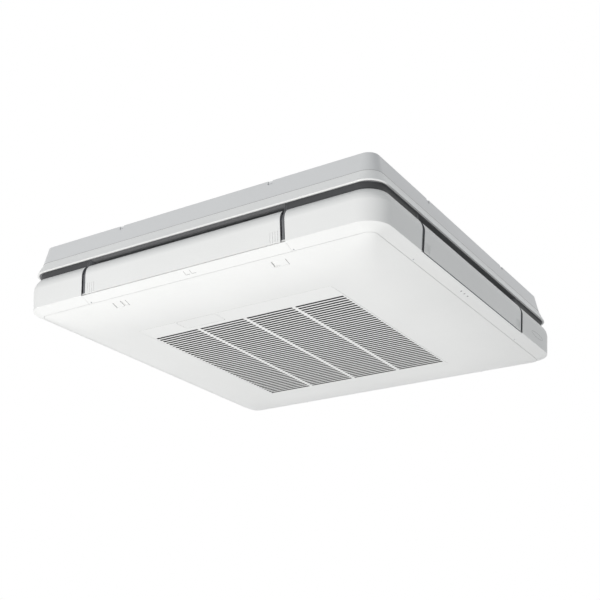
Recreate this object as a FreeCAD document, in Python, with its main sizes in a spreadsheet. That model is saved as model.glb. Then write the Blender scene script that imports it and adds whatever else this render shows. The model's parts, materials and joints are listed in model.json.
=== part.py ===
"""Ceiling-suspended air conditioner that blows to four sides, as a parametric document in millimetres.

The origin is the centre of the face that lies against the ceiling, +Z is up, and the unit hangs below it.
Room air rises through the slotted panel, the filter and the bell mouth into the fan, which blows it out
through the square coil to a flap on each side.
"""
import FreeCAD
import Part
import math
import os
import Sketcher

Vector = FreeCAD.Vector
Rotation = FreeCAD.Rotation
Placement = FreeCAD.Placement

SIZES = [
    ("unit_width", 950, "width over the side walls"),
    ("corner_radius", 57, "outer radius of the side walls' corners"),
    ("casing_inset", 26.5, "distance of the upper casing's top edge from the unit's side"),
    ("casing_flare", 9, "how far the upper casing widens to its foot"),
    ("casing_height", 45, "height of the upper casing"),
    ("casing_wall", 2, "sheet of the upper casing"),
    ("casing_corner", 24, "corner radius of the upper casing at the ceiling"),
    ("notch_spacing", 408, "distance between the two notches of a side"),
    ("notch_width", 12, "width of a notch in the casing's top edge"),
    ("notch_depth", 9, "depth of a notch"),
    ("top_sheet", 2, "sheet of the top plate"),
    ("swage_length", 150, "length of a pressed rib in the top plate"),
    ("swage_width", 14, "width of a pressed rib"),
    ("swage_depth", 0.8, "depth of a pressed rib"),
    ("swage_circle", 250, "radius of the circle through the ribs' middles"),
    ("lip_inset", 6.5, "distance of the outlet's upper lip from the unit's side"),
    ("lip_height", 27, "height of the outlet's upper lip"),
    ("lip_wall", 3, "wall of the lip"),
    ("liner_sheet", 2, "thickness of the dark liner plate"),
    ("outlet_gap", 18, "open band between the lip and the side walls"),
    ("wall_height", 72.5, "height of the side walls"),
    ("wall_thickness", 3, "thickness of flaps, corner covers and trims"),
    ("wall_draft", 4, "how far the foot of a side wall stands in"),
    ("crown_draw", 9.8, "how far the top edge of a side wall curves in"),
    ("crown_height", 24, "height of the curved top edge"),
    ("trim_height", 11.5, "height of the bevelled strip below the walls"),
    ("seam_inset", 32, "distance of the seam round the bottom panel from the unit's side"),
    ("seam_corner", 20, "corner radius of that seam"),
    ("seam_gap", 0.7, "gap of the seam"),
    ("panel_depth", 24, "depth of the bottom panel's convex border"),
    ("panel_border", 120, "width of the panel's convex border"),
    ("panel_flat_corner", 100, "corner radius of the flat middle"),
    ("panel_wall", 3, "wall of the bottom panel"),
    ("grille_side_margin", 60, "distance of the grille's sides from the panel's border"),
    ("grille_front_margin", 22, "distance of the grille's front edge from the border"),
    ("grille_back_margin", 44, "distance of the grille's back edge from the border"),
    ("grille_wall", 1, "thickness of the slats"),
    ("grille_rim", 4, "width of the grille's rim"),
    ("grille_flange", 6, "how far the grille's flange reaches over the panel"),
    ("grille_gap", 0.5, "gap round the grille"),
    ("grille_rib", 6, "height of the ribs behind the slats"),
    ("slot_bridge", 9, "bridge between two columns of slots"),
    ("slot_width", 7, "width of an air slot"),
    ("slot_pitch", 12, "pitch of the slots"),
    ("slot_front", 62, "distance of the first row of slots from the grille's front edge"),
    ("slot_back", 24, "least distance of the last row from the grille's back edge"),
    ("slot_columns", 4, "number of columns of slots"),
    ("badge_width", 113, "width of the blank badge plate"),
    ("badge_height", 43, "height of the blank badge plate"),
    ("badge_x", 98, "distance of the badge plate from the middle"),
    ("badge_sheet", 0.5, "thickness of the badge plate"),
    ("filter_sheet", 3, "thickness of the air filter"),
    ("corner_left", 185, "length of a corner cover to the left of a flap"),
    ("corner_right", 217, "length of a corner cover to the right of a flap"),
    ("flap_end_gap", 11, "slot at each end of a flap"),
    ("flap_foot_gap", 1.5, "groove below a flap"),
    ("pivot_inset", 27, "distance of a flap's pivot behind the side wall"),
    ("pivot_drop", 16, "distance of the pivot below the flap's top edge"),
    ("pin_radius", 4, "radius of a flap's pins"),
    ("run_clearance", 0.1, "radial clearance of turning pins"),
    ("boss_radius", 7, "radius of the flap's pivot bosses"),
    ("web_thickness", 3, "thickness of the flap's end webs"),
    ("pin_drive", 3, "how far a flap's driven pin reaches into its motor"),
    ("pin_short", 2, "how far a flap's free pin stays short of the slot's end"),
    ("grip_pitch", 6.2, "pitch of the grip ribs"),
    ("grip_width", 1.6, "width of a grip rib"),
    ("grip_height", 24, "height of the grip ribs"),
    ("grip_inset", 6, "distance of the first grip rib from the flap's end"),
    ("grip_proud", 1.1, "how far the grip ribs stand out"),
    ("end_wall", 5, "thickness of the liner's end walls"),
    ("end_wall_depth", 25, "depth of the liner's end walls"),
    ("liner_skirt", 22, "height of the liner's corner skirt"),
    ("motor_radius", 14, "radius of a flap motor"),
    ("motor_length", 18, "length of a flap motor"),
    ("motor_ear", 5, "reach of a flap motor's fixing ear"),
    ("jaw_inset", 41, "width of the outlet's upper jaw, from the unit's side"),
    ("frame_inset", 7.1, "distance of the base frame's skirt from the unit's side"),
    ("frame_reach", 75, "distance of the base frame's opening from the unit's side"),
    ("frame_sheet", 3, "thickness of the base frame"),
    ("frame_drop", 5.5, "distance of the base frame above the walls' foot"),
    ("frame_skirt", 5, "depth of the base frame's skirt"),
    ("skirt_inset", 13, "distance of that skirt from the base frame's edge"),
    ("post_inset", 45, "distance of the corner posts' outer faces from the unit's side"),
    ("post_leg", 40, "leg of a corner post"),
    ("post_sheet", 3, "sheet of a corner post"),
    ("hanger_drop", 28, "depth of the hanger plates below the ceiling"),
    ("hanger_reach", 70, "width of a hanger plate"),
    ("bolt_inset", 42, "distance of the suspension bolts from the posts' outer faces"),
    ("bolt_slot", 30, "length of the suspension slots"),
    ("bolt_slot_width", 12, "width of the suspension slots"),
    ("bolt_access", 56, "opening above each suspension slot"),
    ("insulation", 6, "thickness of the foam under the top plate"),
    ("insulation_overhang", 24, "how far the foam reaches past the coil"),
    ("insulation_hole", 115, "radius of the foam's hole for the motor"),
    ("pan_inset", 39, "distance of the drain pan from the unit's side"),
    ("pan_depth", 28, "depth of the drain pan"),
    ("pan_corner", 130, "corner radius of the drain pan"),
    ("pan_floor", 8, "floor below the drain pan's trough"),
    ("pan_hole", 245, "radius of the drain pan's hole"),
    ("coil_inset", 119, "distance of the coil from the unit's side"),
    ("coil_depth", 38, "thickness of the coil"),
    ("coil_corner", 60, "outer corner radius of the coil"),
    ("coil_cut", 116, "length of the coil's missing corner"),
    ("trough_gap", 6, "gap between the coil and the trough's walls"),
    ("tube_radius", 3.5, "radius of the coil's tubes"),
    ("bend_pitch", 22, "pitch of the coil's return bends"),
    ("end_plate", 1.5, "thickness of the coil's end plates"),
    ("fan_radius", 230, "outer radius of the fan"),
    ("fan_eye", 156, "inlet radius of the fan"),
    ("fan_top", 26, "depth of the fan's back plate below the ceiling"),
    ("fan_sheet", 3, "wall of the fan"),
    ("fan_width", 90, "width of the fan's blades at their tips"),
    ("fan_blades", 7, "number of blades"),
    ("fan_flare", 18, "radius of the curve from the fan's eye to its shroud"),
    ("dome_radius", 104, "radius of the fan's hub dome"),
    ("dome_depth", 62, "depth of the fan's hub dome"),
    ("stator_radius", 72, "radius of the fan motor"),
    ("stator_height", 54, "height of the fan motor"),
    ("mount_height", 10, "height of the rubber mounts"),
    ("mount_radius", 9, "radius of the rubber mounts"),
    ("mount_circle", 88, "radius of the circle through the mounts"),
    ("shaft_radius", 6, "radius of the fan shaft"),
    ("bell_throat", 148, "throat radius of the bell mouth"),
    ("bell_flare", 20.6, "radius of the bell mouth's curve"),
    ("bell_flange", 268, "radius of the bell mouth's flange"),
    ("bell_sheet", 2, "wall of the bell mouth"),
    ("bell_height", 24, "height of the bell mouth above its flange"),
    ("pipe_drop", 25, "depth of the pipes below the ceiling"),
    ("gas_radius", 7.94, "radius of the gas pipe"),
    ("liquid_radius", 4.76, "radius of the liquid pipe"),
    ("drain_radius", 8, "radius of the drain riser"),
    ("gas_step", 60, "distance of the gas pipe from the coil's cut end"),
    ("liquid_step", 32, "distance of the liquid pipe from the coil's cut end"),
    ("drain_step", 11, "distance of the drain riser from the pump's middle"),
    ("gas_fitting", 11.1, "radius of the gas flare fitting"),
    ("liquid_fitting", 7.94, "radius of the liquid flare fitting"),
    ("drain_fitting", 13, "radius of the drain socket"),
    ("fitting_length", 12, "length of the fittings' round ends"),
    ("fitting_hex", 5.5, "thickness of the fittings' hexagons"),
    ("grommet_margin", 22, "how far the pipe grommet reaches past the outer pipes"),
    ("grommet_height", 30, "height of the pipe grommet"),
    ("grommet_depth", 10, "depth of the pipe grommet"),
    ("seat_gap", 0.3, "gap between pieces that lie side by side"),
    ("pump_radius", 23, "radius of the drain pump"),
    ("pump_height", 74, "height of the drain pump"),
    ("pump_inset", 33, "distance of the drain pump from the coil's outer face, both ways"),
    ("box_width", 300, "width of the control box"),
    ("box_gap", 29, "gap between the control box and the bell mouth"),
    ("box_depth", 22, "depth of the control box"),
    ("box_margin", 15, "gap between the control box and the base frame's opening"),
    ("box_sheet", 1.2, "sheet of the control box"),
    ("board_sheet", 1.6, "thickness of the circuit board"),
    ("hinge_spread", 250, "distance of the panel's hinges from the middle"),
    ("hinge_pin", 1.5, "radius of the panel's hinge pins"),
    ("hinge_inset", 12, "distance of the hinge pins from the panel's edge"),
    ("hinge_rise", 0.5, "height of the hinge pins above the seam"),
    ("knuckle_width", 16, "width of a hinge knuckle"),
    ("latch_place", 213.5, "distance of the latches from the middle"),
    ("latch_inset", 21.5, "distance of the latches' middle line from the panel's edge"),
    ("latch_length", 35, "length of a latch's recess"),
    ("latch_width", 17, "width of a latch's recess"),
    ("latch_travel", 14, "travel of a latch knob"),
    ("latch_gap", 0.4, "gap round a latch knob"),
    ("latch_lap", 1.2, "how far a latch's plate reaches past its recess at either end"),
    ("latch_lift", 0.8, "gap between a latch's flange and the panel"),
    ("latch_sunk", 0.5, "how far a latch knob lies below the panel's face"),
    ("lamp_radius", 2.2, "radius of the indicator lenses"),
    ("lamp_gap", 0.06, "gap round an indicator lens"),
    ("lamp_pitch", 17, "pitch of the indicator lenses"),
    ("lamp_place", 52, "distance of the middle lens from the side's middle"),
]

doc = FreeCAD.newDocument("ceiling_unit")
sheet = doc.addObject("Spreadsheet::Sheet", "sizes")


class Size:
    """A length that knows both its number and the sheet expression that gives it."""

    def __init__(self, value, text):
        self.value = float(value)
        self.text = text

    def __add__(self, other):
        other = size(other)
        return Size(self.value + other.value, f"({self.text} + {other.text})")

    def __sub__(self, other):
        other = size(other)
        return Size(self.value - other.value, f"({self.text} - {other.text})")

    def __mul__(self, other):
        other = size(other)
        return Size(self.value * other.value, f"({self.text} * {other.text})")

    def __truediv__(self, other):
        other = size(other)
        return Size(self.value / other.value, f"({self.text} / {other.text})")

    def __neg__(self):
        return Size(-self.value, f"(-{self.text})")

    def __radd__(self, other):
        return size(other) + self

    def __rsub__(self, other):
        return size(other) - self

    def __rmul__(self, other):
        return size(other) * self

    def root(self):
        return Size(math.sqrt(self.value), f"sqrt({self.text})")

    def whole(self):
        return Size(math.floor(self.value), f"floor({self.text})")


def size(number):
    """The number as a Size, if it isn't one yet."""
    if isinstance(number, Size):
        return number
    return Size(number, f"({number!r})" if number < 0 else repr(number))


class Table:
    """The sheet's named cells, each read as a Size."""


S = Table()
for row, (alias, number, note) in enumerate(SIZES, start=1):
    sheet.set(f"A{row}", note)
    sheet.set(f"B{row}", str(number))
    sheet.setAlias(f"B{row}", alias)
    setattr(S, alias, Size(number, f"sizes.{alias}"))
doc.recompute()

parts = []


def bind(thing, prop, value):
    """Ties a property to the sheet."""
    value = size(value)
    if "sizes." in value.text:
        thing.setExpression(prop, value.text)


def new_body(name, angle=0, keep=True):
    """A body that is turned about the unit's upright axis, and kept as a piece unless it only helps."""
    body = doc.addObject("PartDesign::Body", name)
    body.Label = name
    body.Placement = Placement(Vector(0, 0, 0), Rotation(Vector(0, 0, 1), angle))
    if keep:
        parts.append(body)
    return body


def origin(body, role):
    return next(item for item in body.Origin.OriginFeatures if item.Role == role)


def sketch(body, plane="XY", x=0, y=0, z=0):
    """A sketch on one of the body's own planes, moved by x, y and z along the sketch's axes."""
    item = body.newObject("Sketcher::SketchObject", f"{body.Label}_sketch")
    item.AttachmentSupport = [(origin(body, f"{plane}_Plane"), "")]
    item.MapMode = "FlatFace"
    x, y, z = size(x), size(y), size(z)
    item.AttachmentOffset = Placement(Vector(x.value, y.value, z.value), Rotation())
    for axis, value in (("x", x), ("y", y), ("z", z)):
        bind(item, f"AttachmentOffset.Base.{axis}", value)
    return item


def constrain(item, rules):
    """Adds constraints (kind, places, value) to a sketch, with the measured ones tied to the sheet."""
    ready = [Sketcher.Constraint(kind, *places) if value is None
             else Sketcher.Constraint(kind, *places, size(value).value) for kind, places, value in rules]
    first = item.ConstraintCount
    item.addConstraint(ready)
    for index, (kind, places, value) in enumerate(rules, start=first):
        if value is not None and "sizes." in size(value).text:
            name = f"{kind.lower()}_{index}"
            item.renameConstraint(index, name)
            bind(item, f"Constraints.{name}", value)


def at_point(index, place, x, y):
    return [("DistanceX", (-1, 1, index, place), x), ("DistanceY", (-1, 1, index, place), y)]


def circle(item, radius, x=0, y=0):
    """A circle with its middle at x, y."""
    radius, x, y = size(radius), size(x), size(y)
    index = item.addGeometry(Part.Circle(Vector(x.value, y.value, 0), Vector(0, 0, 1), radius.value))
    constrain(item, [("Radius", (index,), radius)] + at_point(index, 3, x, y))


def outline(item, corners):
    """A closed line through corners (x, y) or (x, y, radius), listed anticlockwise."""
    spots = [(size(corner[0]), size(corner[1])) for corner in corners]
    radii = [size(corner[2]) if len(corner) > 2 else None for corner in corners]
    flat = [Vector(x.value, y.value, 0) for x, y in spots]
    count = len(flat)
    enter, leave, arcs = [], [], []
    for number in range(count):
        here, radius = flat[number], radii[number]
        if radius is None:
            enter.append(here)
            leave.append(here)
            arcs.append(None)
            continue
        back = (flat[number - 1] - here).normalize()
        ahead = (flat[(number + 1) % count] - here).normalize()
        half = back.getAngle(ahead) / 2
        middle = here + (back + ahead).normalize() * (radius.value / math.sin(half))
        first = here + back * (radius.value / math.tan(half))
        last = here + ahead * (radius.value / math.tan(half))
        turns_left = (-back).cross(ahead).z > 0
        start, end = (first, last) if turns_left else (last, first)
        angles = [math.atan2((spot - middle).y, (spot - middle).x) for spot in (start, end)]
        ring = Part.Circle(middle, Vector(0, 0, 1), radius.value)
        arcs.append((Part.ArcOfCircle(ring, angles[0], angles[1]), turns_left))
        enter.append(first)
        leave.append(last)
    lines = [item.addGeometry(Part.LineSegment(leave[number], enter[(number + 1) % count]))
             for number in range(count)]
    rules = []
    for number in range(count):
        x, y = spots[number]
        before, after = lines[number - 1], lines[number]
        if arcs[number] is None:
            rules.append(("Coincident", (before, 2, after, 1), None))
            rules += at_point(after, 1, x, y)
            continue
        shape, turns_left = arcs[number]
        arc = item.addGeometry(shape)
        corner = item.addGeometry(Part.Point(flat[number]), True)
        start, end = (1, 2) if turns_left else (2, 1)
        rules.append(("Tangent", (before, 2, arc, start), None))
        rules.append(("Tangent", (arc, end, after, 1), None))
        rules.append(("Radius", (arc,), radii[number]))
        rules.append(("PointOnObject", (corner, 1, before), None))
        rules.append(("PointOnObject", (corner, 1, after), None))
        rules += at_point(corner, 1, x, y)
    constrain(item, rules)


def bend(x, y, radius, start, end, steps):
    """Points of an arc about x, y between two angles in degrees, joined by short straight runs."""
    x, y, radius = size(x), size(y), size(radius)
    turns = [math.radians(start + (end - start) * step / steps) for step in range(steps + 1)]
    return [(x + radius * round(math.cos(turn), 6), y + radius * round(math.sin(turn), 6)) for turn in turns]


def box_outline(item, left, right, low, high, radius=None):
    """A rectangle between two limits each way, with rounded corners if a radius is given."""
    corners = [(left, low), (right, low), (right, high), (left, high)]
    if radius is not None:
        corners = [corner + (radius,) for corner in corners]
    outline(item, corners)


def square(item, half, radius):
    """A rounded square about the sketch's middle."""
    half = size(half)
    box_outline(item, -half, half, -half, half, radius)


def feature(body, kind, item, **values):
    made = body.newObject(f"PartDesign::{kind}", f"{body.Label}_{kind.lower()}")
    made.Profile = item
    for name, value in values.items():
        if isinstance(value, (bool, str)):
            setattr(made, name, value)
        else:
            setattr(made, name, size(value).value)
            bind(made, name, value)
    return made


def pad(body, item, length, reverse=False):
    return feature(body, "Pad", item, Length=length, Reversed=reverse)


def pocket(body, item, length, reverse=False):
    return feature(body, "Pocket", item, Length=length, Reversed=reverse)


def revolve(body, item, kind="Revolution"):
    """Turns a profile about the sketch's upright axis."""
    made = feature(body, kind, item)
    made.ReferenceAxis = (item, ["V_Axis"])
    made.Angle = 360
    return made


def loft(body, sections, kind="AdditiveLoft", ruled=True):
    made = feature(body, kind, sections[0], Ruled=ruled)
    made.Sections = sections[1:]
    return made


def around(body, features, count):
    """Repeats features about the unit's upright axis."""
    made = body.newObject("PartDesign::PolarPattern", f"{body.Label}_around")
    made.Originals = features
    made.Axis = (origin(body, "Z_Axis"), [""])
    made.Angle = 360
    made.Occurrences = int(size(count).value)
    bind(made, "Occurrences", count)
    body.Tip = made
    return made


def along(body, features, axis, length, count, reverse=False, second=None):
    """Repeats features along one of the body's axes, or along two with a second (axis, length, count)."""
    made = body.newObject("PartDesign::LinearPattern", f"{body.Label}_along")
    made.Originals = features
    made.Direction = (origin(body, f"{axis}_Axis"), [""])
    made.Reversed = reverse
    made.Length = size(length).value
    bind(made, "Length", length)
    made.Occurrences = int(size(count).value)
    bind(made, "Occurrences", count)
    if second is not None:
        made.Direction2 = (origin(body, f"{second[0]}_Axis"), [""])
        made.Length2 = size(second[1]).value
        bind(made, "Length2", second[1])
        made.Occurrences2 = second[2]
    body.Tip = made
    return made


# Levels, as depths below the ceiling, and half widths that several pieces share
lip_top = S.casing_height
gap_top = lip_top + S.lip_height
wall_top = gap_top + S.outlet_gap
wall_foot = wall_top + S.wall_height
seam = wall_foot + S.trim_height
bottom = seam + S.panel_depth
frame_top = wall_foot - S.frame_drop
frame_foot = frame_top + S.frame_sheet
pan_top = frame_top - S.pan_depth
trough_floor = frame_top - S.pan_floor
side = S.unit_width / 2
foot_side = side - S.wall_draft
crown_side = side - S.crown_draw
seam_outer = side - S.seam_inset + S.seam_gap / 2
seam_inner = side - S.seam_inset - S.seam_gap / 2
casing_top = side - S.casing_inset
casing_foot = casing_top + S.casing_flare
casing_foot_corner = S.casing_corner + S.casing_flare
lip_side = side - S.lip_inset
lip_corner = casing_foot_corner + lip_side - casing_foot
jaw_inner = side - S.jaw_inset
jaw_corner = size(10)
pivot_side = side - S.pivot_inset
pivot_depth = wall_top + S.pivot_drop
slot_left = side - S.corner_left
slot_right = side - S.corner_right
flap_left = slot_left - S.flap_end_gap
flap_right = slot_right - S.flap_end_gap
liner_side = lip_side - S.lip_wall - S.liner_sheet
skirt_side = crown_side - S.wall_thickness - 0.5
hinge_side = seam_inner - S.hinge_inset
hinge_depth = seam - S.hinge_rise
foam_foot = S.top_sheet + S.insulation
frame_opening = side - S.frame_reach
post_place = side - S.post_inset
bolt_place = post_place - S.bolt_inset
coil_half = side - S.coil_inset
coil_inner = coil_half - S.coil_depth
coil_end = coil_half - S.coil_cut
pump_place = coil_half - S.pump_inset
gas_y = coil_end + S.gas_step
liquid_y = coil_end + S.liquid_step
drain_y = pump_place + S.drain_step

crown_end = wall_top + S.crown_height
crown_radius = (S.crown_height * S.crown_height + S.crown_draw * S.crown_draw) / (S.crown_draw * 2)
crown_drop = (S.crown_height * S.crown_height - S.crown_draw * S.crown_draw) / (S.crown_height * 2)
crown_corner = wall_top + crown_drop

SIDES = {"right": 0, "back": 90, "left": 180, "front": 270}
CORNERS = {"front_right": 0, "back_right": 90, "back_left": 180, "front_left": 270}


# Top plate and upper casing
plate = new_body("top_plate")
item = sketch(plate, z=-S.top_sheet)
square(item, casing_top - S.casing_wall - S.seat_gap, S.casing_corner - S.casing_wall - S.seat_gap)
pad(plate, item, S.top_sheet)
item = sketch(plate, x=bolt_place, y=bolt_place)
box_outline(item, -S.bolt_access / 2, S.bolt_access / 2, -S.bolt_access / 2, S.bolt_access / 2, 8)
around(plate, [pocket(plate, item, S.top_sheet)], 4)
item = sketch(plate, x=S.swage_circle)
swage_end = S.swage_length / 2
swage_half = S.swage_width / 2
outline(item, [(-swage_end, 0), (swage_half - swage_end, -swage_half), (swage_end - swage_half, -swage_half),
               (swage_end, 0), (swage_end - swage_half, swage_half), (swage_half - swage_end, swage_half)])
around(plate, [pocket(plate, item, S.swage_depth)], 8)

casing = new_body("upper_casing")
sections = []
for inset in (size(0), S.casing_wall):
    top = sketch(casing)
    square(top, casing_top - inset, S.casing_corner - inset)
    foot = sketch(casing, z=-S.casing_height)
    square(foot, casing_foot - inset, casing_foot_corner - inset)
    sections.append([top, foot])
loft(casing, sections[0])
loft(casing, sections[1], "SubtractiveLoft")
item = sketch(casing, "YZ", z=casing_foot + 2)
for centre in (-S.notch_spacing / 2, S.notch_spacing / 2):
    box_outline(item, centre - S.notch_width / 2, centre + S.notch_width / 2, -S.notch_depth, size(1))
around(casing, [pocket(casing, item, S.casing_flare + S.casing_wall * 2 + 2)], 4)
grommet_y = (liquid_y + drain_y) / 2
grommet_half = (drain_y - liquid_y) / 2 + S.grommet_margin
item = sketch(casing, "YZ", x=grommet_y, y=-S.pipe_drop, z=-casing_foot - 2)
box_outline(item, -grommet_half, grommet_half, -S.grommet_height / 2, S.grommet_height / 2, 12)
pocket(casing, item, S.casing_flare + S.casing_wall * 2 + 2, reverse=True)

foam = new_body("top_insulation")
item = sketch(foam, z=-foam_foot)
square(item, coil_half + S.insulation_overhang, 80)
circle(item, S.insulation_hole)
pad(foam, item, S.insulation)


# Outlet: upper lip, dark liner with the flaps' bearings
lip = new_body("outlet_frame")
sections = []
roll = ((0, 0), (0.5, 0.52), (0.9, 0.95), (0.97, 1.0), (1.0, 0.92))
for part_down, part_out in roll:
    item = sketch(lip, z=-(lip_top + S.lip_height * part_down))
    out = (lip_side - casing_foot) * part_out
    square(item, casing_foot + out, casing_foot_corner + out)
    sections.append(item)
loft(lip, sections)
plate_foot = gap_top - S.liner_sheet
plate_top = plate_foot - S.lip_wall
inner = casing_foot - S.casing_wall - 1
item = sketch(lip, z=-lip_top)
square(item, inner, casing_foot_corner - S.casing_wall - 1)
pocket(lip, item, plate_top - lip_top)
item = sketch(lip, z=-(lip_top + S.lip_height * 0.6))
square(item, lip_side - S.lip_wall - 5, lip_corner - S.lip_wall - 5)
pocket(lip, item, plate_top - lip_top - S.lip_height * 0.6)
item = sketch(lip, z=-plate_top)
square(item, jaw_inner, jaw_corner)
pocket(lip, item, S.lip_wall + S.liner_sheet)
item = sketch(lip, z=-plate_foot)
square(item, liner_side + S.seat_gap, lip_corner - S.lip_wall - S.liner_sheet + S.seat_gap)
pocket(lip, item, S.liner_sheet)

liner = new_body("outlet_liner")
item = sketch(liner, z=-gap_top)
square(item, liner_side, lip_corner - S.lip_wall - S.liner_sheet)
square(item, jaw_inner, jaw_corner)
pad(liner, item, S.liner_sheet)
skirt_corner = S.corner_radius - S.crown_draw - S.wall_thickness - 0.5
wall_out = flap_left + (S.flap_end_gap - S.end_wall) / 2
wall_out_right = flap_right + (S.flap_end_gap - S.end_wall) / 2
skirt_inner = skirt_side - S.liner_sheet
end_inner = skirt_side - S.end_wall_depth
end_shape = [(end_inner, -frame_top), (foot_side - 2, -frame_top), (side - 2.5, -crown_end),
             (crown_side - 1, -wall_top), (skirt_side, -gap_top), (end_inner, -gap_top)]
for name, angle in CORNERS.items():
    corner = new_body(f"corner_liner_{name}", angle)
    item = sketch(corner, z=-(gap_top + S.liner_skirt))
    outline(item, [(wall_out_right, -skirt_side), (skirt_side, -skirt_side, skirt_corner),
                   (skirt_side, -wall_out), (skirt_inner, -wall_out),
                   (skirt_inner, -skirt_inner, skirt_corner - S.liner_sheet), (wall_out_right, -skirt_inner)])
    pad(corner, item, S.liner_skirt)
    item = sketch(corner, "XZ", z=wall_out)
    outline(item, end_shape)
    circle(item, S.pin_radius + S.run_clearance, pivot_side, -pivot_depth)
    pad(corner, item, S.end_wall)
    item = sketch(corner, "YZ", z=wall_out_right)
    outline(item, [(-x, y) for x, y in end_shape])
    circle(item, S.pin_radius + S.run_clearance, -pivot_side, -pivot_depth)
    pad(corner, item, S.end_wall)


# Side walls: corner covers and bevelled trims are cut from one ring
ring = new_body("lower_casing", keep=False)


def crown_at(depth):
    """Half width of the curved top edge at a depth."""
    rise = crown_end - depth
    return side - (crown_radius - (crown_radius * crown_radius - rise * rise).root())


sections = []
for share in (0, 0.25, 0.5, 0.75, 1.0):
    depth = wall_top + S.crown_height * share
    item = sketch(ring, z=-depth)
    half = crown_at(depth)
    square(item, half, S.corner_radius + half - side)
    sections.append(item)
for depth, half, radius in ((wall_foot, foot_side, S.corner_radius - S.wall_draft),
                            (seam, seam_outer, S.seam_corner + S.seam_gap / 2)):
    item = sketch(ring, z=-depth)
    square(item, half, radius)
    sections.append(item)
loft(ring, sections)
slope = ((foot_side - seam_outer) * (foot_side - seam_outer) + S.trim_height * S.trim_height).root()
rise = S.wall_thickness * (foot_side - seam_outer) / slope
draw = S.wall_thickness * S.trim_height / slope
inner_foot = foot_side - draw
inner_seam = seam - rise - draw * S.trim_height / (foot_side - seam_outer)
sections = []
for depth, half, radius in ((wall_top, crown_side - S.wall_thickness,
                             S.corner_radius - S.crown_draw - S.wall_thickness),
                            (crown_end, side - S.wall_thickness, S.corner_radius - S.wall_thickness),
                            (wall_foot - rise, inner_foot, S.corner_radius - S.wall_draft - draw),
                            (inner_seam, seam_outer, S.seam_corner + S.seam_gap / 2)):
    item = sketch(ring, z=-depth)
    square(item, half, radius)
    sections.append(item)
loft(ring, sections, "SubtractiveLoft")
item = sketch(ring, z=-inner_seam)
square(item, seam_outer, S.seam_corner + S.seam_gap / 2)
pocket(ring, item, seam - inner_seam)


def cut_box(name, angle, low, high, depth_top, depth_foot):
    """A box between low and high (x, y), turned about the upright axis."""
    block = doc.addObject("Part::Box", f"{name}_box")
    extents = {"Length": high[0] - low[0], "Width": high[1] - low[1], "Height": depth_foot - depth_top}
    for prop, value in extents.items():
        setattr(block, prop, value.value)
        bind(block, prop, value)
    turned = {0: (low[0], low[1]), 90: (-low[1], low[0]),
              180: (-low[0], -low[1]), 270: (low[1], -low[0])}
    x, y = turned[angle]
    block.Placement = Placement(Vector(x.value, y.value, -depth_foot.value), Rotation(Vector(0, 0, 1), angle))
    bind(block, "Placement.Base.x", x)
    bind(block, "Placement.Base.y", y)
    bind(block, "Placement.Base.z", -depth_foot)
    return block


def cut_piece(name, angle, low, high, depth_top, depth_foot):
    """The part of the ring inside a box."""
    piece = doc.addObject("Part::Common", name)
    piece.Label = name
    piece.Base = ring
    piece.Tool = cut_box(name, angle, low, high, depth_top, depth_foot)
    parts.append(piece)
    return piece


for name, angle in CORNERS.items():
    cut_piece(f"corner_cover_{name}", angle, (slot_right, -side - 5), (side + 5, -slot_left),
              wall_top - 5, bottom)
trims = {}
for name, angle in SIDES.items():
    trims[name] = cut_piece(f"trim_{name}", angle, (seam_inner - S.corner_radius, S.seam_gap / 2 - slot_left),
                            (side + 5, slot_right - S.seam_gap / 2), wall_foot + 0.5, bottom)

# Three round holes for the indicator lenses in the right-hand trim
lamp_line = (foot_side + seam_outer) / 2


def lamp_rod(role, radius, y, z, length):
    """An upright round rod in the bevelled strip."""
    rod = doc.addObject("Part::Cylinder", f"lamp_{role}")
    for prop, value in {"Radius": radius, "Height": length}.items():
        setattr(rod, prop, value.value)
        bind(rod, prop, value)
    rod.Placement = Placement(Vector(lamp_line.value, y.value, z.value), Rotation())
    for axis, value in {"x": lamp_line, "y": y, "z": z}.items():
        bind(rod, f"Placement.Base.{axis}", value)
    return rod


holes = []
lamps = []
for number in (-1, 0, 1):
    lamp_y = S.lamp_pitch * number - S.lamp_place
    holes.append(lamp_rod("hole", S.lamp_radius + S.lamp_gap, lamp_y, -bottom, bottom - wall_foot))
    lamps.append(lamp_rod("lens", S.lamp_radius, lamp_y, -(wall_foot + S.trim_height / 2), S.wall_thickness))
hole_set = doc.addObject("Part::MultiFuse", "lamp_holes")
hole_set.Shapes = holes
drilled = doc.addObject("Part::Cut", "trim_right_drilled")
drilled.Base = trims["right"]
drilled.Tool = hole_set
trims["right"].Label = "trim_right_blank"
drilled.Label = "trim_right"
parts.remove(trims["right"])
parts.append(drilled)
lens_set = doc.addObject("Part::Compound", "indicator_lenses")
lens_set.Label = "indicator_lenses"
lens_set.Links = lamps
parts.append(lens_set)


# Flaps, each hung on two pins near its top edge
flap_foot = wall_foot - S.flap_foot_gap + 0.5


def wall_at(depth):
    """Half width of a side wall's outer face at a depth below its curved top."""
    return side - S.wall_draft * (depth - crown_end) / (wall_foot - crown_end)


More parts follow.
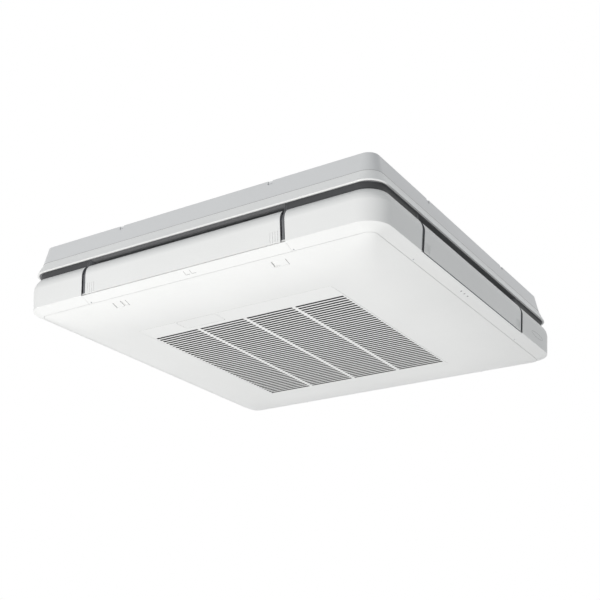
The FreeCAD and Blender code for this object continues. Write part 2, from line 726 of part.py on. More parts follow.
def make_flap(name, angle):
    flap = new_body(f"flap_{name}", angle)
    thick = S.wall_thickness
    foot = wall_at(flap_foot)
    outer_arc = crown_radius * 0.95
    item = sketch(flap, "XZ", z=-flap_right)
    outline(item, [(foot - thick, -flap_foot), (foot, -flap_foot), (side, -crown_end),
                   (side, -crown_corner, outer_arc), (crown_side, -wall_top), (crown_side - thick, -wall_top),
                   (side - thick, -crown_corner, outer_arc - thick), (side - thick, -crown_end)])
    pad(flap, item, flap_right + flap_left)
    boss_top = pivot_depth - S.boss_radius
    boss_foot = pivot_depth + S.boss_radius
    boss_inner = pivot_side - S.boss_radius
    boss_round = S.boss_radius * 0.8
    web_foot = pivot_depth + S.boss_radius * 3
    for start in (-flap_right, flap_left - S.web_thickness):
        item = sketch(flap, "XZ", z=start)
        outline(item, [(boss_inner, -boss_foot, boss_round), (wall_at(web_foot) - thick * 0.5, -web_foot),
                       (side - thick * 0.5, -crown_end), (crown_at(boss_top) - thick * 0.5, -boss_top),
                       (boss_inner, -boss_top, boss_round)])
        pad(flap, item, S.web_thickness)
    reach = S.flap_end_gap + S.web_thickness
    for start, length in ((-(flap_right + S.flap_end_gap + S.pin_drive), reach + S.pin_drive),
                          (flap_left - S.web_thickness, reach - S.pin_short)):
        item = sketch(flap, "XZ", z=start)
        circle(item, S.pin_radius, pivot_side, -pivot_depth)
        pad(flap, item, length)
    grip_foot = flap_foot - 1
    grip_top = flap_foot - S.grip_height
    for start in (-(flap_right - S.grip_inset), flap_left - S.grip_inset - S.grip_width):
        item = sketch(flap, "XZ", z=start)
        outline(item, [(foot - 1, -grip_foot), (foot + S.grip_proud, -grip_foot),
                       (wall_at(grip_top) + S.grip_proud, -grip_top), (wall_at(grip_top) - 1, -grip_top)])
        rib = pad(flap, item, S.grip_width)
        along(flap, [rib], "Y", S.grip_pitch * 3, 4, reverse=start.value < 0)
    return flap


def make_flap_motor(name, angle):
    motor = new_body(f"flap_motor_{name}", angle)
    face = wall_out_right + S.end_wall
    item = sketch(motor, "XZ", z=-face)
    circle(item, S.motor_radius, pivot_side, -pivot_depth)
    pad(motor, item, S.motor_length, reverse=True)
    item = sketch(motor, "XZ", z=-face)
    ear = S.motor_radius + S.motor_ear
    box_outline(item, pivot_side - S.motor_ear, pivot_side + S.motor_ear, -(pivot_depth + ear), -pivot_depth)
    pad(motor, item, S.liner_sheet, reverse=True)
    item = sketch(motor, "XZ", z=-face)
    circle(item, S.pin_radius + S.run_clearance, pivot_side, -pivot_depth)
    pocket(motor, item, S.flap_end_gap - S.end_wall + S.pin_drive)
    return motor


for name, angle in SIDES.items():
    make_flap(name, angle)
    make_flap_motor(name, angle)


# Base frame with the hinge pins of the bottom panel, corner posts with the hanger plates
frame = new_body("base_frame")
frame_side = side - S.frame_inset
item = sketch(frame, z=-frame_foot)
square(item, frame_side, S.corner_radius - S.frame_inset)
square(item, frame_opening, 40)
pad(frame, item, S.frame_sheet)
item = sketch(frame, z=-(frame_foot + S.frame_skirt))
skirt_line = frame_side - S.skirt_inset
skirt_round = S.corner_radius - S.frame_inset - S.skirt_inset
square(item, skirt_line, skirt_round)
square(item, skirt_line - S.frame_sheet, skirt_round - S.frame_sheet)
pad(frame, item, S.frame_skirt)
ear_half = S.knuckle_width / 2 + S.seat_gap
for centre in (-S.hinge_spread, S.hinge_spread):
    for ear_start in (centre - ear_half - 3, centre + ear_half):
        item = sketch(frame, "YZ", z=ear_start)
        outline(item, [(hinge_side - S.hinge_pin * 0.9, -hinge_depth), (hinge_side + 0.3, -hinge_depth),
                       (hinge_side + 0.3, -(frame_foot - 1)), (hinge_side - 6, -(frame_foot - 1)),
                       (hinge_side - 6, -(hinge_depth - 6))])
        pad(frame, item, 3)
    item = sketch(frame, "YZ", z=centre - ear_half - 3)
    circle(item, S.hinge_pin, hinge_side, -hinge_depth)
    pad(frame, item, ear_half * 2 + 6)

for name, angle in CORNERS.items():
    post = new_body(f"corner_post_{name}", angle - 90)
    place, leg, thick = post_place, S.post_leg, S.post_sheet
    item = sketch(post, z=-frame_top)
    outline(item, [(place - leg, place - thick), (place - thick, place - thick), (place - thick, place - leg),
                   (place, place - leg), (place, place), (place - leg, place)])
    pad(post, item, frame_top - S.top_sheet)
    item = sketch(post, z=-(S.hanger_drop + thick))
    box_outline(item, place - S.hanger_reach, place - thick / 2, place - S.hanger_reach, place - thick / 2)
    pad(post, item, thick)
    half_long = S.bolt_slot / 2
    half_wide = S.bolt_slot_width / 2
    item = sketch(post, x=bolt_place, y=bolt_place, z=-S.hanger_drop)
    if (angle - 90) % 180 == 0:
        box_outline(item, -half_long, half_long, -half_wide, half_wide, half_wide * 0.999)
    else:
        box_outline(item, -half_wide, half_wide, -half_long, half_long, half_wide * 0.999)
    pocket(post, item, thick)


# Drain pan, coil, return bends
pan = new_body("drain_pan")
item = sketch(pan, z=-frame_top)
square(item, side - S.pan_inset, S.pan_corner)
circle(item, S.pan_hole)
pad(pan, item, S.pan_depth)
coil_inner_corner = S.coil_corner - S.coil_depth
item = sketch(pan, z=-pan_top)
square(item, coil_half + S.trough_gap, S.coil_corner + S.trough_gap)
square(item, coil_inner - S.trough_gap, coil_inner_corner - S.trough_gap)
pocket(pan, item, S.pan_depth - S.pan_floor)

coil = new_body("heat_exchanger")
item = sketch(coil, z=-trough_floor)
square(item, coil_half, S.coil_corner)
square(item, coil_inner, coil_inner_corner)
pad(coil, item, trough_floor - foam_foot)
item = sketch(coil, z=-foam_foot)
box_outline(item, -coil_half - 5, -coil_end, coil_end, coil_half + 5)
pocket(coil, item, trough_floor - foam_foot)

ends = new_body("coil_end_plate_left")
item = sketch(ends, z=-trough_floor)
box_outline(item, -coil_half, -coil_inner, coil_end, coil_end + S.end_plate)
pad(ends, item, trough_floor - foam_foot)

ends_back = new_body("coil_end_plate_back")
item = sketch(ends_back, z=-trough_floor)
box_outline(item, -coil_end - S.end_plate, -coil_end, coil_inner, coil_half)
pad(ends_back, item, trough_floor - foam_foot)



def tube(points, radius, sides=0):
    """A tube along straight runs, mitred where they meet: round, or with a number of flat sides."""
    ahead = (points[1] - points[0]).normalize()
    ring = Part.Circle(points[0], ahead, radius)
    if sides:
        spots = [ring.value(2 * math.pi * number / sides) for number in range(sides + 1)]
        section = Part.makePolygon(spots)
    else:
        section = Part.Wire(ring.toShape())
    return Part.makePolygon(points).makePipeShell([section], True, False, 1)


def keep_shape(name, shape):
    piece = doc.addObject("Part::Feature", name)
    piece.Label = name
    piece.Shape = shape
    parts.append(piece)


bend_radius = S.bend_pitch / 4
bends = []
for number in range(5):
    bend_x = -(coil_half - S.coil_depth / 2)
    bend_z = -(foam_foot + S.bend_pitch * (number + 1.5))
    foot = coil_end + S.end_plate
    arc = bend(bend_z, foot + S.tube_radius, bend_radius, 0, 180, 4)
    run = [(arc[0][0], foot)] + arc + [(arc[-1][0], foot)]
    spots = [Vector(bend_x.value, y.value, z.value) for z, y in run]
    bends.append(tube(spots, S.tube_radius.value, 8))
keep_shape("return_bends", Part.makeCompound(bends))


# Bell mouth, fan, motor
bell = new_body("bell_mouth")
bell_foot = frame_top + S.bell_sheet
bell_top = frame_top - S.bell_height
item = sketch(bell, "XZ")
thick = S.bell_sheet
flare_x = S.bell_throat + S.bell_flare
flare_y = S.bell_flare - bell_foot
outline(item, [(S.bell_throat, -bell_top)] + bend(flare_x, flare_y, S.bell_flare, 180, 270, 4)
        + [(S.bell_flange, -bell_foot), (S.bell_flange, -frame_top)]
        + bend(flare_x, flare_y, S.bell_flare - thick, 270, 180, 4) + [(S.bell_throat + thick, -bell_top)])
revolve(bell, item)

fan = new_body("turbo_fan")
fan_back = S.fan_top + S.fan_sheet
dome_foot = S.fan_top + S.dome_depth
hub_radius = S.shaft_radius + 7
hub_bore = S.shaft_radius + 0.02
item = sketch(fan, "XZ")
outline(item, [(hub_bore, -(dome_foot + 8)), (hub_radius, -(dome_foot + 8)), (hub_radius, -(dome_foot + 3)),
               (S.dome_radius * 0.72, -dome_foot), (S.dome_radius, -fan_back),
               (S.fan_radius, -fan_back), (S.fan_radius, -S.fan_top),
               (S.dome_radius - S.fan_sheet, -S.fan_top),
               (S.dome_radius * 0.72 - S.fan_sheet, -(dome_foot - 3)), (hub_bore, -(dome_foot - 1))])
revolve(fan, item)
tip_foot = fan_back + S.fan_width
eye_foot = bell_top + 14
item = sketch(fan, z=-(tip_foot + 1))
blade_root = S.fan_eye * 0.9
blade_tip = S.fan_radius - 1
outline(item, [(blade_root, size(0)), (blade_root + 16, S.fan_radius * -0.14, 40),
               (blade_tip * 0.83, S.fan_radius * -0.54), (blade_tip * 0.845, S.fan_radius * -0.525),
               (blade_root + 22, S.fan_radius * -0.1, 34)])
blade = pad(fan, item, S.fan_width + S.fan_sheet / 2)
around(fan, [blade], S.fan_blades)
item = sketch(fan, "XZ")
shroud_x = S.fan_eye + S.fan_flare
shroud_y = -(tip_foot + 2 + S.fan_flare)
outline(item, [(S.fan_eye, -eye_foot), (S.fan_eye + S.fan_sheet, -eye_foot)]
        + bend(shroud_x, shroud_y, S.fan_flare - S.fan_sheet, 180, 90, 3)
        + [(S.fan_radius, -(tip_foot + S.fan_sheet)), (S.fan_radius, -tip_foot)]
        + bend(shroud_x, shroud_y, S.fan_flare, 90, 180, 3))
revolve(fan, item)

motor = new_body("fan_motor")
motor_top = S.top_sheet + S.mount_height
motor_foot = motor_top + S.stator_height
item = sketch(motor, "XZ")
outline(item, [(S.shaft_radius + S.run_clearance, -motor_foot), (S.stator_radius * 0.45, -motor_foot),
               (S.stator_radius * 0.5, -(motor_foot - 6)), (S.stator_radius - 8, -(motor_foot - 6)),
               (S.stator_radius, -(motor_foot - 14)), (S.stator_radius, -(motor_top + 4)),
               (S.stator_radius - 4, -motor_top), (S.shaft_radius + S.run_clearance, -motor_top)])
revolve(motor, item)
item = sketch(motor, z=-(motor_top + 3))
lug_root = S.stator_radius - 6
lug_tip = S.mount_circle + S.mount_radius
outline(item, [(lug_root, -S.mount_radius - 8), (lug_tip, -S.mount_radius, 5), (lug_tip, S.mount_radius, 5),
               (lug_root, S.mount_radius + 8)])
around(motor, [pad(motor, item, 3)], 3)

mounts = new_body("motor_mounts")
mounts.AllowCompound = True
item = sketch(mounts, z=-motor_top)
circle(item, S.mount_radius, S.mount_circle, 0)
around(mounts, [pad(mounts, item, S.mount_height)], 3)

shaft = new_body("fan_shaft")
item = sketch(shaft, "XZ")
nut_foot = dome_foot + 17
nut_top = dome_foot + 8
outline(item, [(0, -(nut_foot + 3)), (S.shaft_radius - 1, -(nut_foot + 3)), (S.shaft_radius - 1, -nut_foot),
               (S.shaft_radius + 4, -nut_foot), (S.shaft_radius + 4, -nut_top), (S.shaft_radius, -nut_top),
               (S.shaft_radius, -(motor_top + 6)), (0, -(motor_top + 6))])
revolve(shaft, item)


# Pipes, fittings, grommet, drain pump
def bent_pipe(name, radius, start, turn, end):
    """A tube from start to end, with one round bend at the turn."""
    points = [Vector(*(value.value for value in spot)) for spot in (start, turn, end)]
    back = (points[0] - points[1]).normalize()
    ahead = (points[2] - points[1]).normalize()
    reach = radius.value * 2.5
    enter = points[1] + back * reach
    leave = points[1] + ahead * reach
    inward = (back + ahead).normalize()
    crest = points[1] + inward * (reach * (math.sqrt(2) - 1))
    knee = Part.Arc(enter, crest, leave).toShape()
    runs = [Part.makeLine(points[0], enter), knee, Part.makeLine(leave, points[2])]
    ring = Part.Wire(Part.Circle(points[0], back, radius.value).toShape())
    keep_shape(name, Part.Wire(runs).makePipeShell([ring], True, False, 0))


wall_line = casing_top + S.casing_flare * S.pipe_drop / S.casing_height
pipe_end = -wall_line - 3
level = -S.pipe_drop
coil_face = coil_end + S.end_plate
gas_x = -(coil_inner + S.gas_radius)
liquid_x = -(coil_half - S.liquid_radius - 3)
bent_pipe("gas_pipe", S.gas_radius, (gas_x, coil_face, level), (gas_x, gas_y, level),
          (pipe_end, gas_y, level))
bent_pipe("liquid_pipe", S.liquid_radius, (liquid_x, coil_face, level), (liquid_x, liquid_y, level),
          (pipe_end, liquid_y, level))
pump_top = trough_floor - S.pump_height
bent_pipe("drain_riser", S.drain_radius, (-pump_place, drain_y, -pump_top), (-pump_place, drain_y, level),
          (pipe_end, drain_y, level))

grommet = new_body("pipe_grommet")
item = sketch(grommet, "YZ", x=grommet_y, y=level, z=pipe_end)
half_long = grommet_half - S.seat_gap
half_high = S.grommet_height / 2 - S.seat_gap
box_outline(item, -half_long, half_long, -half_high, half_high, 12 - S.seat_gap)
for radius, y in ((S.gas_radius, gas_y), (S.liquid_radius, liquid_y), (S.drain_radius, drain_y)):
    circle(item, radius + S.run_clearance, y - grommet_y, 0)
pad(grommet, item, S.grommet_depth)


def fitting(name, pipe_radius, radius, y, hexagon):
    """A pipe end outside the casing: a collar or hexagon, then a round end."""
    body = new_body(name)
    item = sketch(body, "YZ", x=y, y=level, z=pipe_end)
    reach = radius * 1.2
    if hexagon:
        outline(item, bend(0, 0, reach, 0, 300, 5))
    else:
        circle(item, reach)
    circle(item, pipe_radius * 0.8)
    pad(body, item, S.fitting_hex, reverse=True)
    item = sketch(body, "YZ", x=y, y=level, z=pipe_end - S.fitting_hex)
    circle(item, radius)
    circle(item, pipe_radius * 0.8)
    pad(body, item, S.fitting_length, reverse=True)


fitting("gas_fitting", S.gas_radius, S.gas_fitting, gas_y, True)
fitting("liquid_fitting", S.liquid_radius, S.liquid_fitting, liquid_y, True)
fitting("drain_socket", S.drain_radius, S.drain_fitting, drain_y, False)

pump = new_body("drain_pump")
item = sketch(pump, x=-pump_place, y=pump_place, z=-trough_floor)
circle(item, S.pump_radius * 0.62)
pad(pump, item, S.pump_height * 0.5)
item = sketch(pump, x=-pump_place, y=pump_place, z=-(pump_top + S.pump_height * 0.6))
circle(item, S.pump_radius)
pad(pump, item, S.pump_height * 0.6)


# Control box under the drain pan
box_front = S.box_margin - frame_opening
box_back = -(S.bell_flange + S.box_gap)
box_middle = (box_front + box_back) / 2
box_length = box_back - box_front
box_foot = frame_top + S.box_depth
control = new_body("control_box")
item = sketch(control, z=-box_foot)
box_outline(item, -S.box_width / 2, S.box_width / 2, box_front, box_back)
pad(control, item, S.box_depth)
item = sketch(control, z=-box_foot)
inside = S.box_width / 2 - S.box_sheet
box_outline(item, -inside, inside, box_front + S.box_sheet, box_back - S.box_sheet)
pocket(control, item, S.box_depth - S.box_sheet, reverse=True)
lid = new_body("control_lid")
item = sketch(lid, z=-(box_foot + S.box_sheet))
box_outline(item, -S.box_width / 2 - 3, S.box_width / 2 + 3, box_front - 3, box_back + 3, 4)
pad(lid, item, S.box_sheet)
board = new_body("circuit_board")
board_top = frame_top + S.box_sheet + 4
item = sketch(board, z=-(board_top + S.board_sheet))
board_edge = S.box_width / 2 - S.box_sheet - 0.5
box_outline(item, -board_edge, board_edge * 0.5, box_front + 8, box_back - 8)
pad(board, item, S.board_sheet)
board_foot = board_top + S.board_sheet
for x, y, tall, wide in ((-0.7, 0.3, 9, 22), (-0.35, -0.2, 7, 30), (0.1, 0.2, 10, 26), (0.3, -0.3, 6, 16)):
    item = sketch(board, x=board_edge * x, y=box_middle + box_length * 0.3 * y, z=-board_foot)
    box_outline(item, size(-wide / 2), size(wide / 2), size(-wide / 3), size(wide / 3))
    pad(board, item, size(tall), reverse=True)
block = new_body("terminal_block")
item = sketch(block, z=-(frame_top + S.box_sheet + 12))
box_outline(item, board_edge * 0.62, board_edge * 0.95, box_front + 14, box_back - 14)
pad(block, item, 12)


# Bottom panel: convex border round a flat middle, opened on two hinges by two latch knobs
panel = new_body("intake_panel")
bulge = S.panel_border
flat_half = seam_inner - S.panel_border


def panel_sections(body, lift):
    made = []
    for share in (0, 0.25, 0.5, 0.75, 1.0):
        item = sketch(body, z=-(bottom - S.panel_depth * (1 - share) ** 2) + lift)
        radius = S.seam_corner - S.seam_gap / 2
        square(item, seam_inner - bulge * share, radius + (S.panel_flat_corner - radius) * share)
        made.append(item)
    return made


loft(panel, panel_sections(panel, size(0)))
loft(panel, panel_sections(panel, S.panel_wall), "SubtractiveLoft")
grille_half = flat_half - S.grille_side_margin
grille_front = flat_half - S.grille_front_margin
grille_back = flat_half - S.grille_back_margin
slot_start = grille_front - S.slot_front
slot_rows = ((slot_start + grille_back - S.slot_back) / S.slot_pitch + 0.001).whole() + 1
column_pitch = grille_half * 2 / S.slot_columns
slot_half = (column_pitch - S.slot_bridge) / 2
latch_line = seam_inner - S.latch_inset
item = sketch(panel, z=-bottom)
box_outline(item, -grille_half - S.grille_gap, grille_half + S.grille_gap,
            -grille_front - S.grille_gap, grille_back + S.grille_gap, 6)
pocket(panel, item, S.panel_wall * 2, reverse=True)
item = sketch(panel, z=-bottom)
for centre in (-S.latch_place, S.latch_place):
    box_outline(item, centre - S.latch_length / 2, centre + S.latch_length / 2,
                -latch_line - S.latch_width / 2, -latch_line + S.latch_width / 2, S.latch_gap * 1.5)
pocket(panel, item, S.panel_depth, reverse=True)
knuckle_half = S.knuckle_width / 2
for centre in (-S.hinge_spread, S.hinge_spread):
    item = sketch(panel, "YZ", z=centre - knuckle_half)
    box_outline(item, hinge_side - 4, hinge_side + 4, -(seam + S.panel_wall * 0.95), -(hinge_depth - 4), 2)
    circle(item, S.hinge_pin + S.run_clearance, hinge_side, -hinge_depth)
    pad(panel, item, S.knuckle_width)

grille = new_body("intake_grille")
item = sketch(grille, z=-bottom)
box_outline(item, -grille_half, grille_half, -grille_front, grille_back, 5.5)
pad(grille, item, S.grille_wall)
flange_foot = bottom - S.panel_wall
item = sketch(grille, z=-bottom + S.grille_wall)
box_outline(item, -grille_half, grille_half, -grille_front, grille_back, 5.5)
box_outline(item, S.grille_rim - grille_half, grille_half - S.grille_rim, S.grille_rim - grille_front,
            grille_back - S.grille_rim)
pad(grille, item, S.panel_wall - S.grille_wall + 1.5)
item = sketch(grille, z=-flange_foot)
reach = S.grille_flange
box_outline(item, -grille_half - reach, grille_half + reach, -grille_front - reach, grille_back + reach, 6)
box_outline(item, S.grille_rim - grille_half, grille_half - S.grille_rim, S.grille_rim - grille_front,
            grille_back - S.grille_rim)
pad(grille, item, 1.5)
rib_half = S.slot_bridge / 4
item = sketch(grille, z=-bottom + S.grille_wall)
columns = int(S.slot_columns.value)
for number in range(1, columns):
    centre = column_pitch * (number - columns / 2)
    box_outline(item, centre - rib_half, centre + rib_half, S.grille_rim * 0.5 - grille_front,
                grille_back - S.grille_rim * 0.5)
pad(grille, item, S.grille_rib)
item = sketch(grille, x=-S.badge_x, y=-(grille_front - S.badge_height / 2 - 1), z=-bottom)
box_outline(item, -S.badge_width / 2, S.badge_width / 2, -S.badge_height / 2, S.badge_height / 2, 8)
pocket(grille, item, S.badge_sheet, reverse=True)
item = sketch(grille, z=-bottom)
for number in range(columns):
    centre = column_pitch * (number + 0.5 - columns / 2)
    box_outline(item, centre - slot_half, centre + slot_half, -slot_start - S.slot_width / 2,
                -slot_start + S.slot_width / 2)
slots = pocket(grille, item, S.grille_wall + 0.01, reverse=True)
along(grille, [slots], "Y", S.slot_pitch * (slot_rows - 1), slot_rows)

badge = new_body("badge_plate")
item = sketch(badge, x=-S.badge_x, y=-(grille_front - S.badge_height / 2 - 1), z=-bottom)
edge = S.seat_gap * 2
box_outline(item, edge - S.badge_width / 2, S.badge_width / 2 - edge, edge - S.badge_height / 2,
            S.badge_height / 2 - edge, 8 - edge)
pad(badge, item, S.badge_sheet)

net = new_body("air_filter")
item = sketch(net, z=-(bottom - S.grille_wall - S.grille_rib))
net_half = grille_half - S.grille_rim - 2
net_front = slot_start + S.slot_pitch
net_back = grille_back - S.grille_rim - 2
box_outline(item, -net_half, net_half, -net_front, net_back, 4)
pad(net, item, S.filter_sheet)
item = sketch(net, z=-(bottom - S.grille_wall - S.grille_rib) + S.filter_sheet)
cell_x = net_half / 3
cell_y = (net_front + net_back) / 6
box_outline(item, 4 - net_half, cell_x - net_half - 1, 4 - net_front, cell_y - net_front - 1)
window = pocket(net, item, S.filter_sheet - 1)
along(net, [window], "X", cell_x * 5, 6, second=("Y", cell_y * 5, 6))


def make_latch(name, way):
    """A knob that slides towards the middle of the panel, on a plate that closes its recess."""
    latch = new_body(name)
    knob = S.latch_length - S.latch_travel - S.latch_gap * 2
    outer = S.latch_place + S.latch_length / 2 - S.latch_gap
    start = outer - knob if way > 0 else -outer
    overlap = S.latch_travel + S.latch_gap + S.latch_lap
    half = S.latch_width / 2 - S.latch_gap
    near = latch_line + half
    far = latch_line - half

    def face(line):
        """Depth of the panel's outer face at a distance from the middle."""
        share = (seam_inner - line) / bulge
        return bottom - S.panel_depth * (1 - share) * (1 - share)

    rise = S.panel_wall + S.latch_lift
    item = sketch(latch, "YZ", z=start)
    outline(item, [(-near, -(face(near) - S.latch_sunk)), (-far, -(face(far) - S.latch_sunk)),
                   (-far, -(face(far) - rise - 1)), (-near, -(face(near) - rise - 1))])
    pad(latch, item, knob)
    item = sketch(latch, "YZ", z=start - overlap)
    grip = 4
    outer_foot = face(near + grip) - rise
    inner_foot = face(far - grip) - rise
    outline(item, [(-near - grip, -outer_foot), (-far + grip, -inner_foot),
                   (-far + grip, -(inner_foot - 2)), (-near - grip, -(outer_foot - 2))])
    pad(latch, item, knob + overlap * 2)


make_latch("latch_left", -1)
make_latch("latch_right", 1)


# Check every object, then write each piece
doc.recompute()
for thing in doc.Objects:
    if "Invalid" in thing.State or "Error" in thing.State:
        raise RuntimeError(f"{thing.Name} could not be built: {thing.State}")
for part in parts:
    shape = part.Shape
    if shape.isNull() or not shape.isValid() or not shape.Solids:
        raise RuntimeError(f"{part.Label} is not a valid solid")
os.makedirs("parts", exist_ok=True)
for part in parts:
    part.Shape.exportStep(f"parts/{part.Label}.step")
print(len(parts), "pieces")
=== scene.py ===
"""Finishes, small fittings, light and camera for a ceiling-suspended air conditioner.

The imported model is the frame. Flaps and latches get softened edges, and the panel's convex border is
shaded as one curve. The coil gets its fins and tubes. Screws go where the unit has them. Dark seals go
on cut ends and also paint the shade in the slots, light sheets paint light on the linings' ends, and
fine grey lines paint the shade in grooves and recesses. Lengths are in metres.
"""
import json
import math

import bmesh
import bpy
from mathutils import Matrix, Vector
from mathutils.bvhtree import BVHTree


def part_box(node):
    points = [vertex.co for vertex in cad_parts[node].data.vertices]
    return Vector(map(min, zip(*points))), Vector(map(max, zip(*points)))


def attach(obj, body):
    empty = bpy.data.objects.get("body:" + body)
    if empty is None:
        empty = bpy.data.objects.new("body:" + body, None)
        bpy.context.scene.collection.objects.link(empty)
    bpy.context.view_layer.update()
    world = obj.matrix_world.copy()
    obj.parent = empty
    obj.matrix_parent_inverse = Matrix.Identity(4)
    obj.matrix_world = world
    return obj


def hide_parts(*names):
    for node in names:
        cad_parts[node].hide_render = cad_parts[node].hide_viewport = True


bl_info = {
    "name": "Ceiling unit finishes",
    "version": (1, 0, 0),
    "blender": (4, 5, 0),
    "location": "View3D > Sidebar > Ceiling unit",
    "description": "Dresses a ceiling-suspended air conditioner and sets its studio",
    "category": "Object",
}

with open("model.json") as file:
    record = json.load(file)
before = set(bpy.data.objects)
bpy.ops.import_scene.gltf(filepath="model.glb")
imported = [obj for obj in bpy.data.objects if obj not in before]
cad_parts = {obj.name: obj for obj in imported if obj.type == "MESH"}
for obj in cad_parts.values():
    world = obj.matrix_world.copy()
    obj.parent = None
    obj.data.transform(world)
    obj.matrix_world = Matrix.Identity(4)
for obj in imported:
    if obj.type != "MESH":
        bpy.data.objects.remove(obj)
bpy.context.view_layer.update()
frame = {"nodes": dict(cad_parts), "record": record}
NODES = frame["nodes"]
RECORD = frame["record"]
BODY_OF = {node: body for body, members in RECORD["behaviour"]["bodies"].items() for node in members}
SLOT_OF = {part["node"]: part["material_slot"] for part in RECORD["subparts"]}

# What is the same on all sides is placed on the right side, then turned by each of these angles.
SIDES = {"right": 0, "back": 90, "left": 180, "front": 270}
CORNERS = ("front_right", "back_right", "back_left", "front_left")
FLAPS = [f"flap_{name}" for name in SIDES]
LATCHES = ["latch_left", "latch_right"]

# Half the width over the flaps, then the heights of the flaps' foot, the panel's seam and the face of
# the grille.
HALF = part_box("flap_right")[1].x
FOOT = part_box("trim_left")[1].z
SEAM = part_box("trim_left")[0].z
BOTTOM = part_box("intake_grille")[0].z

# Edges that turn further than SHARP are rounded. A face lies square to a line where the cosine between
# its normal and the line is over SQUARE. A quarter turn has QUARTER_STEPS straight runs.
SHARP = math.radians(24)
SQUARE = 0.99
QUARTER_STEPS = 8


class UnitColours(bpy.types.PropertyGroup):
    """Colours of the unit's finishes."""

    white: bpy.props.FloatVectorProperty(
        name="White moulding", description="Panel, flaps and covers", subtype="COLOR", size=3,
        min=0, max=1, default=(0.86, 0.86, 0.855))
    skirt: bpy.props.FloatVectorProperty(
        name="White steel", description="Upper casing against the ceiling", subtype="COLOR", size=3,
        min=0, max=1, default=(0.73, 0.735, 0.745))
    dark: bpy.props.FloatVectorProperty(
        name="Dark lining", description="Lining behind the outlets", subtype="COLOR", size=3,
        min=0, max=1, default=(0.052, 0.053, 0.056))
    # Painted light: the roof's grey is lighter than the dark lining, against the deep shade it lies in.
    roof: bpy.props.FloatVectorProperty(
        name="Outlet roof", description="Lining above the outlets", subtype="COLOR", size=3,
        min=0, max=1, default=(0.17, 0.172, 0.178))
    grey: bpy.props.FloatVectorProperty(
        name="Grey moulding", description="Fan, bell mouth and inner frame", subtype="COLOR", size=3,
        min=0, max=1, default=(0.34, 0.345, 0.35))
    # The net's dark tone is partly its own and partly painted shade in the grille's slots.
    net: bpy.props.FloatVectorProperty(
        name="Filter net", description="Air filter behind the grille", subtype="COLOR", size=3,
        min=0, max=1, default=(0.03, 0.031, 0.033))


class UnitSizes(bpy.types.PropertyGroup):
    """Sizes of the small fittings."""

    edge: bpy.props.FloatProperty(
        name="Edge softness", description="Rounding of the mouldings' edges", unit="LENGTH",
        min=0, max=0.003, default=0.0005)
    fin_pitch: bpy.props.FloatProperty(
        name="Fin pitch", description="Distance between two fins of the coil", unit="LENGTH",
        min=0.001, max=0.01, default=0.0026)
    fin_sheet: bpy.props.FloatProperty(
        name="Fin sheet", description="Thickness of a fin", unit="LENGTH", min=0.0001, max=0.002,
        default=0.0004)
    tube_radius: bpy.props.FloatProperty(
        name="Tube radius", description="Radius of the tubes through the fins", unit="LENGTH",
        min=0.001, max=0.01, default=0.0035)
    tube_rows: bpy.props.IntProperty(
        name="Tube rows", description="Tubes one above the other in the coil", min=1, max=20, default=6)
    screw_radius: bpy.props.FloatProperty(
        name="Screw radius", description="Radius of a screw's head", unit="LENGTH", min=0.001, max=0.01,
        default=0.0042)
    seam_screw_radius: bpy.props.FloatProperty(
        name="Seam screw radius", description="Radius of the small screws along the seam", unit="LENGTH",
        min=0.001, max=0.01, default=0.0017)
    # Thickness of the dark seals, also painted shade, and of the light sheets of painted light on the cut
    # ends.
    seal: bpy.props.FloatProperty(
        name="End sheet thickness", description="Height of the seals on the cut ends", unit="LENGTH",
        min=0.00005, max=0.001, default=0.00012)


class UnitStage(bpy.types.PropertyGroup):
    """Studio round the unit."""

    eye: bpy.props.FloatVectorProperty(
        name="Camera place", description="Where the camera stands", subtype="XYZ", unit="LENGTH", size=3,
        default=(1.31992, -2.07093, -1.08708))
    yaw: bpy.props.FloatProperty(
        name="Camera yaw", description="Turn of the view from the front", subtype="ANGLE",
        default=math.radians(32.637))
    pitch: bpy.props.FloatProperty(
        name="Camera pitch", description="Tilt of the view upwards", subtype="ANGLE",
        default=math.radians(22.556))
    roll: bpy.props.FloatProperty(
        name="Camera roll", description="Roll of the view", subtype="ANGLE", default=math.radians(0.682))
    lens: bpy.props.FloatProperty(
        name="Lens", description="Focal length in millimetres", unit="CAMERA", min=10, max=200,
        default=63.959)
    ambient: bpy.props.FloatProperty(
        name="Ambient", description="Strength of the even light", min=0, max=2, default=0.47)
    key: bpy.props.FloatProperty(
        name="Key light", description="Power of the soft light from the front and below", unit="POWER",
        min=0, max=1000, default=118)
    key_size: bpy.props.FloatProperty(
        name="Key size", description="Width of the soft light", unit="LENGTH", min=0.1, max=5, default=1.8)
    key_place: bpy.props.FloatVectorProperty(
        name="Key place", description="Where the soft light stands", subtype="XYZ", unit="LENGTH",
        size=3, default=(-0.35, -3.3, -3.2))
    floor_glow: bpy.props.FloatProperty(
        name="Floor glow", description="Share of its own light in the floor", subtype="FACTOR",
        min=0, max=1, default=0.13)
    floor_seen: bpy.props.FloatProperty(
        name="Floor seen", description="The same share where the floor is seen", subtype="FACTOR",
        min=0, max=1, default=0.6)
    floor: bpy.props.FloatProperty(
        name="Floor level", description="Height of the floor below the ceiling", unit="LENGTH",
        default=-3.9)


# Materials

def shader(name):
    """A new material with its node tree, main shader and object coordinates."""
    material = bpy.data.materials.new(name)
    material.use_nodes = True
    tree = material.node_tree
    surface = tree.nodes["Principled BSDF"]
    place = tree.nodes.new("ShaderNodeTexCoord")
    return material, tree, surface, place.outputs["Object"]


def noise(tree, place, scale, detail=3):
    """Cloudy variation."""
    node = tree.nodes.new("ShaderNodeTexNoise")
    node.inputs["Scale"].default_value = scale
    node.inputs["Detail"].default_value = detail
    tree.links.new(place, node.inputs["Vector"])
    return node.outputs["Fac"]


def cells(tree, place, scale):
    """A pattern of cells, as a node."""
    node = tree.nodes.new("ShaderNodeTexVoronoi")
    node.inputs["Scale"].default_value = scale
    tree.links.new(place, node.inputs["Vector"])
    return node


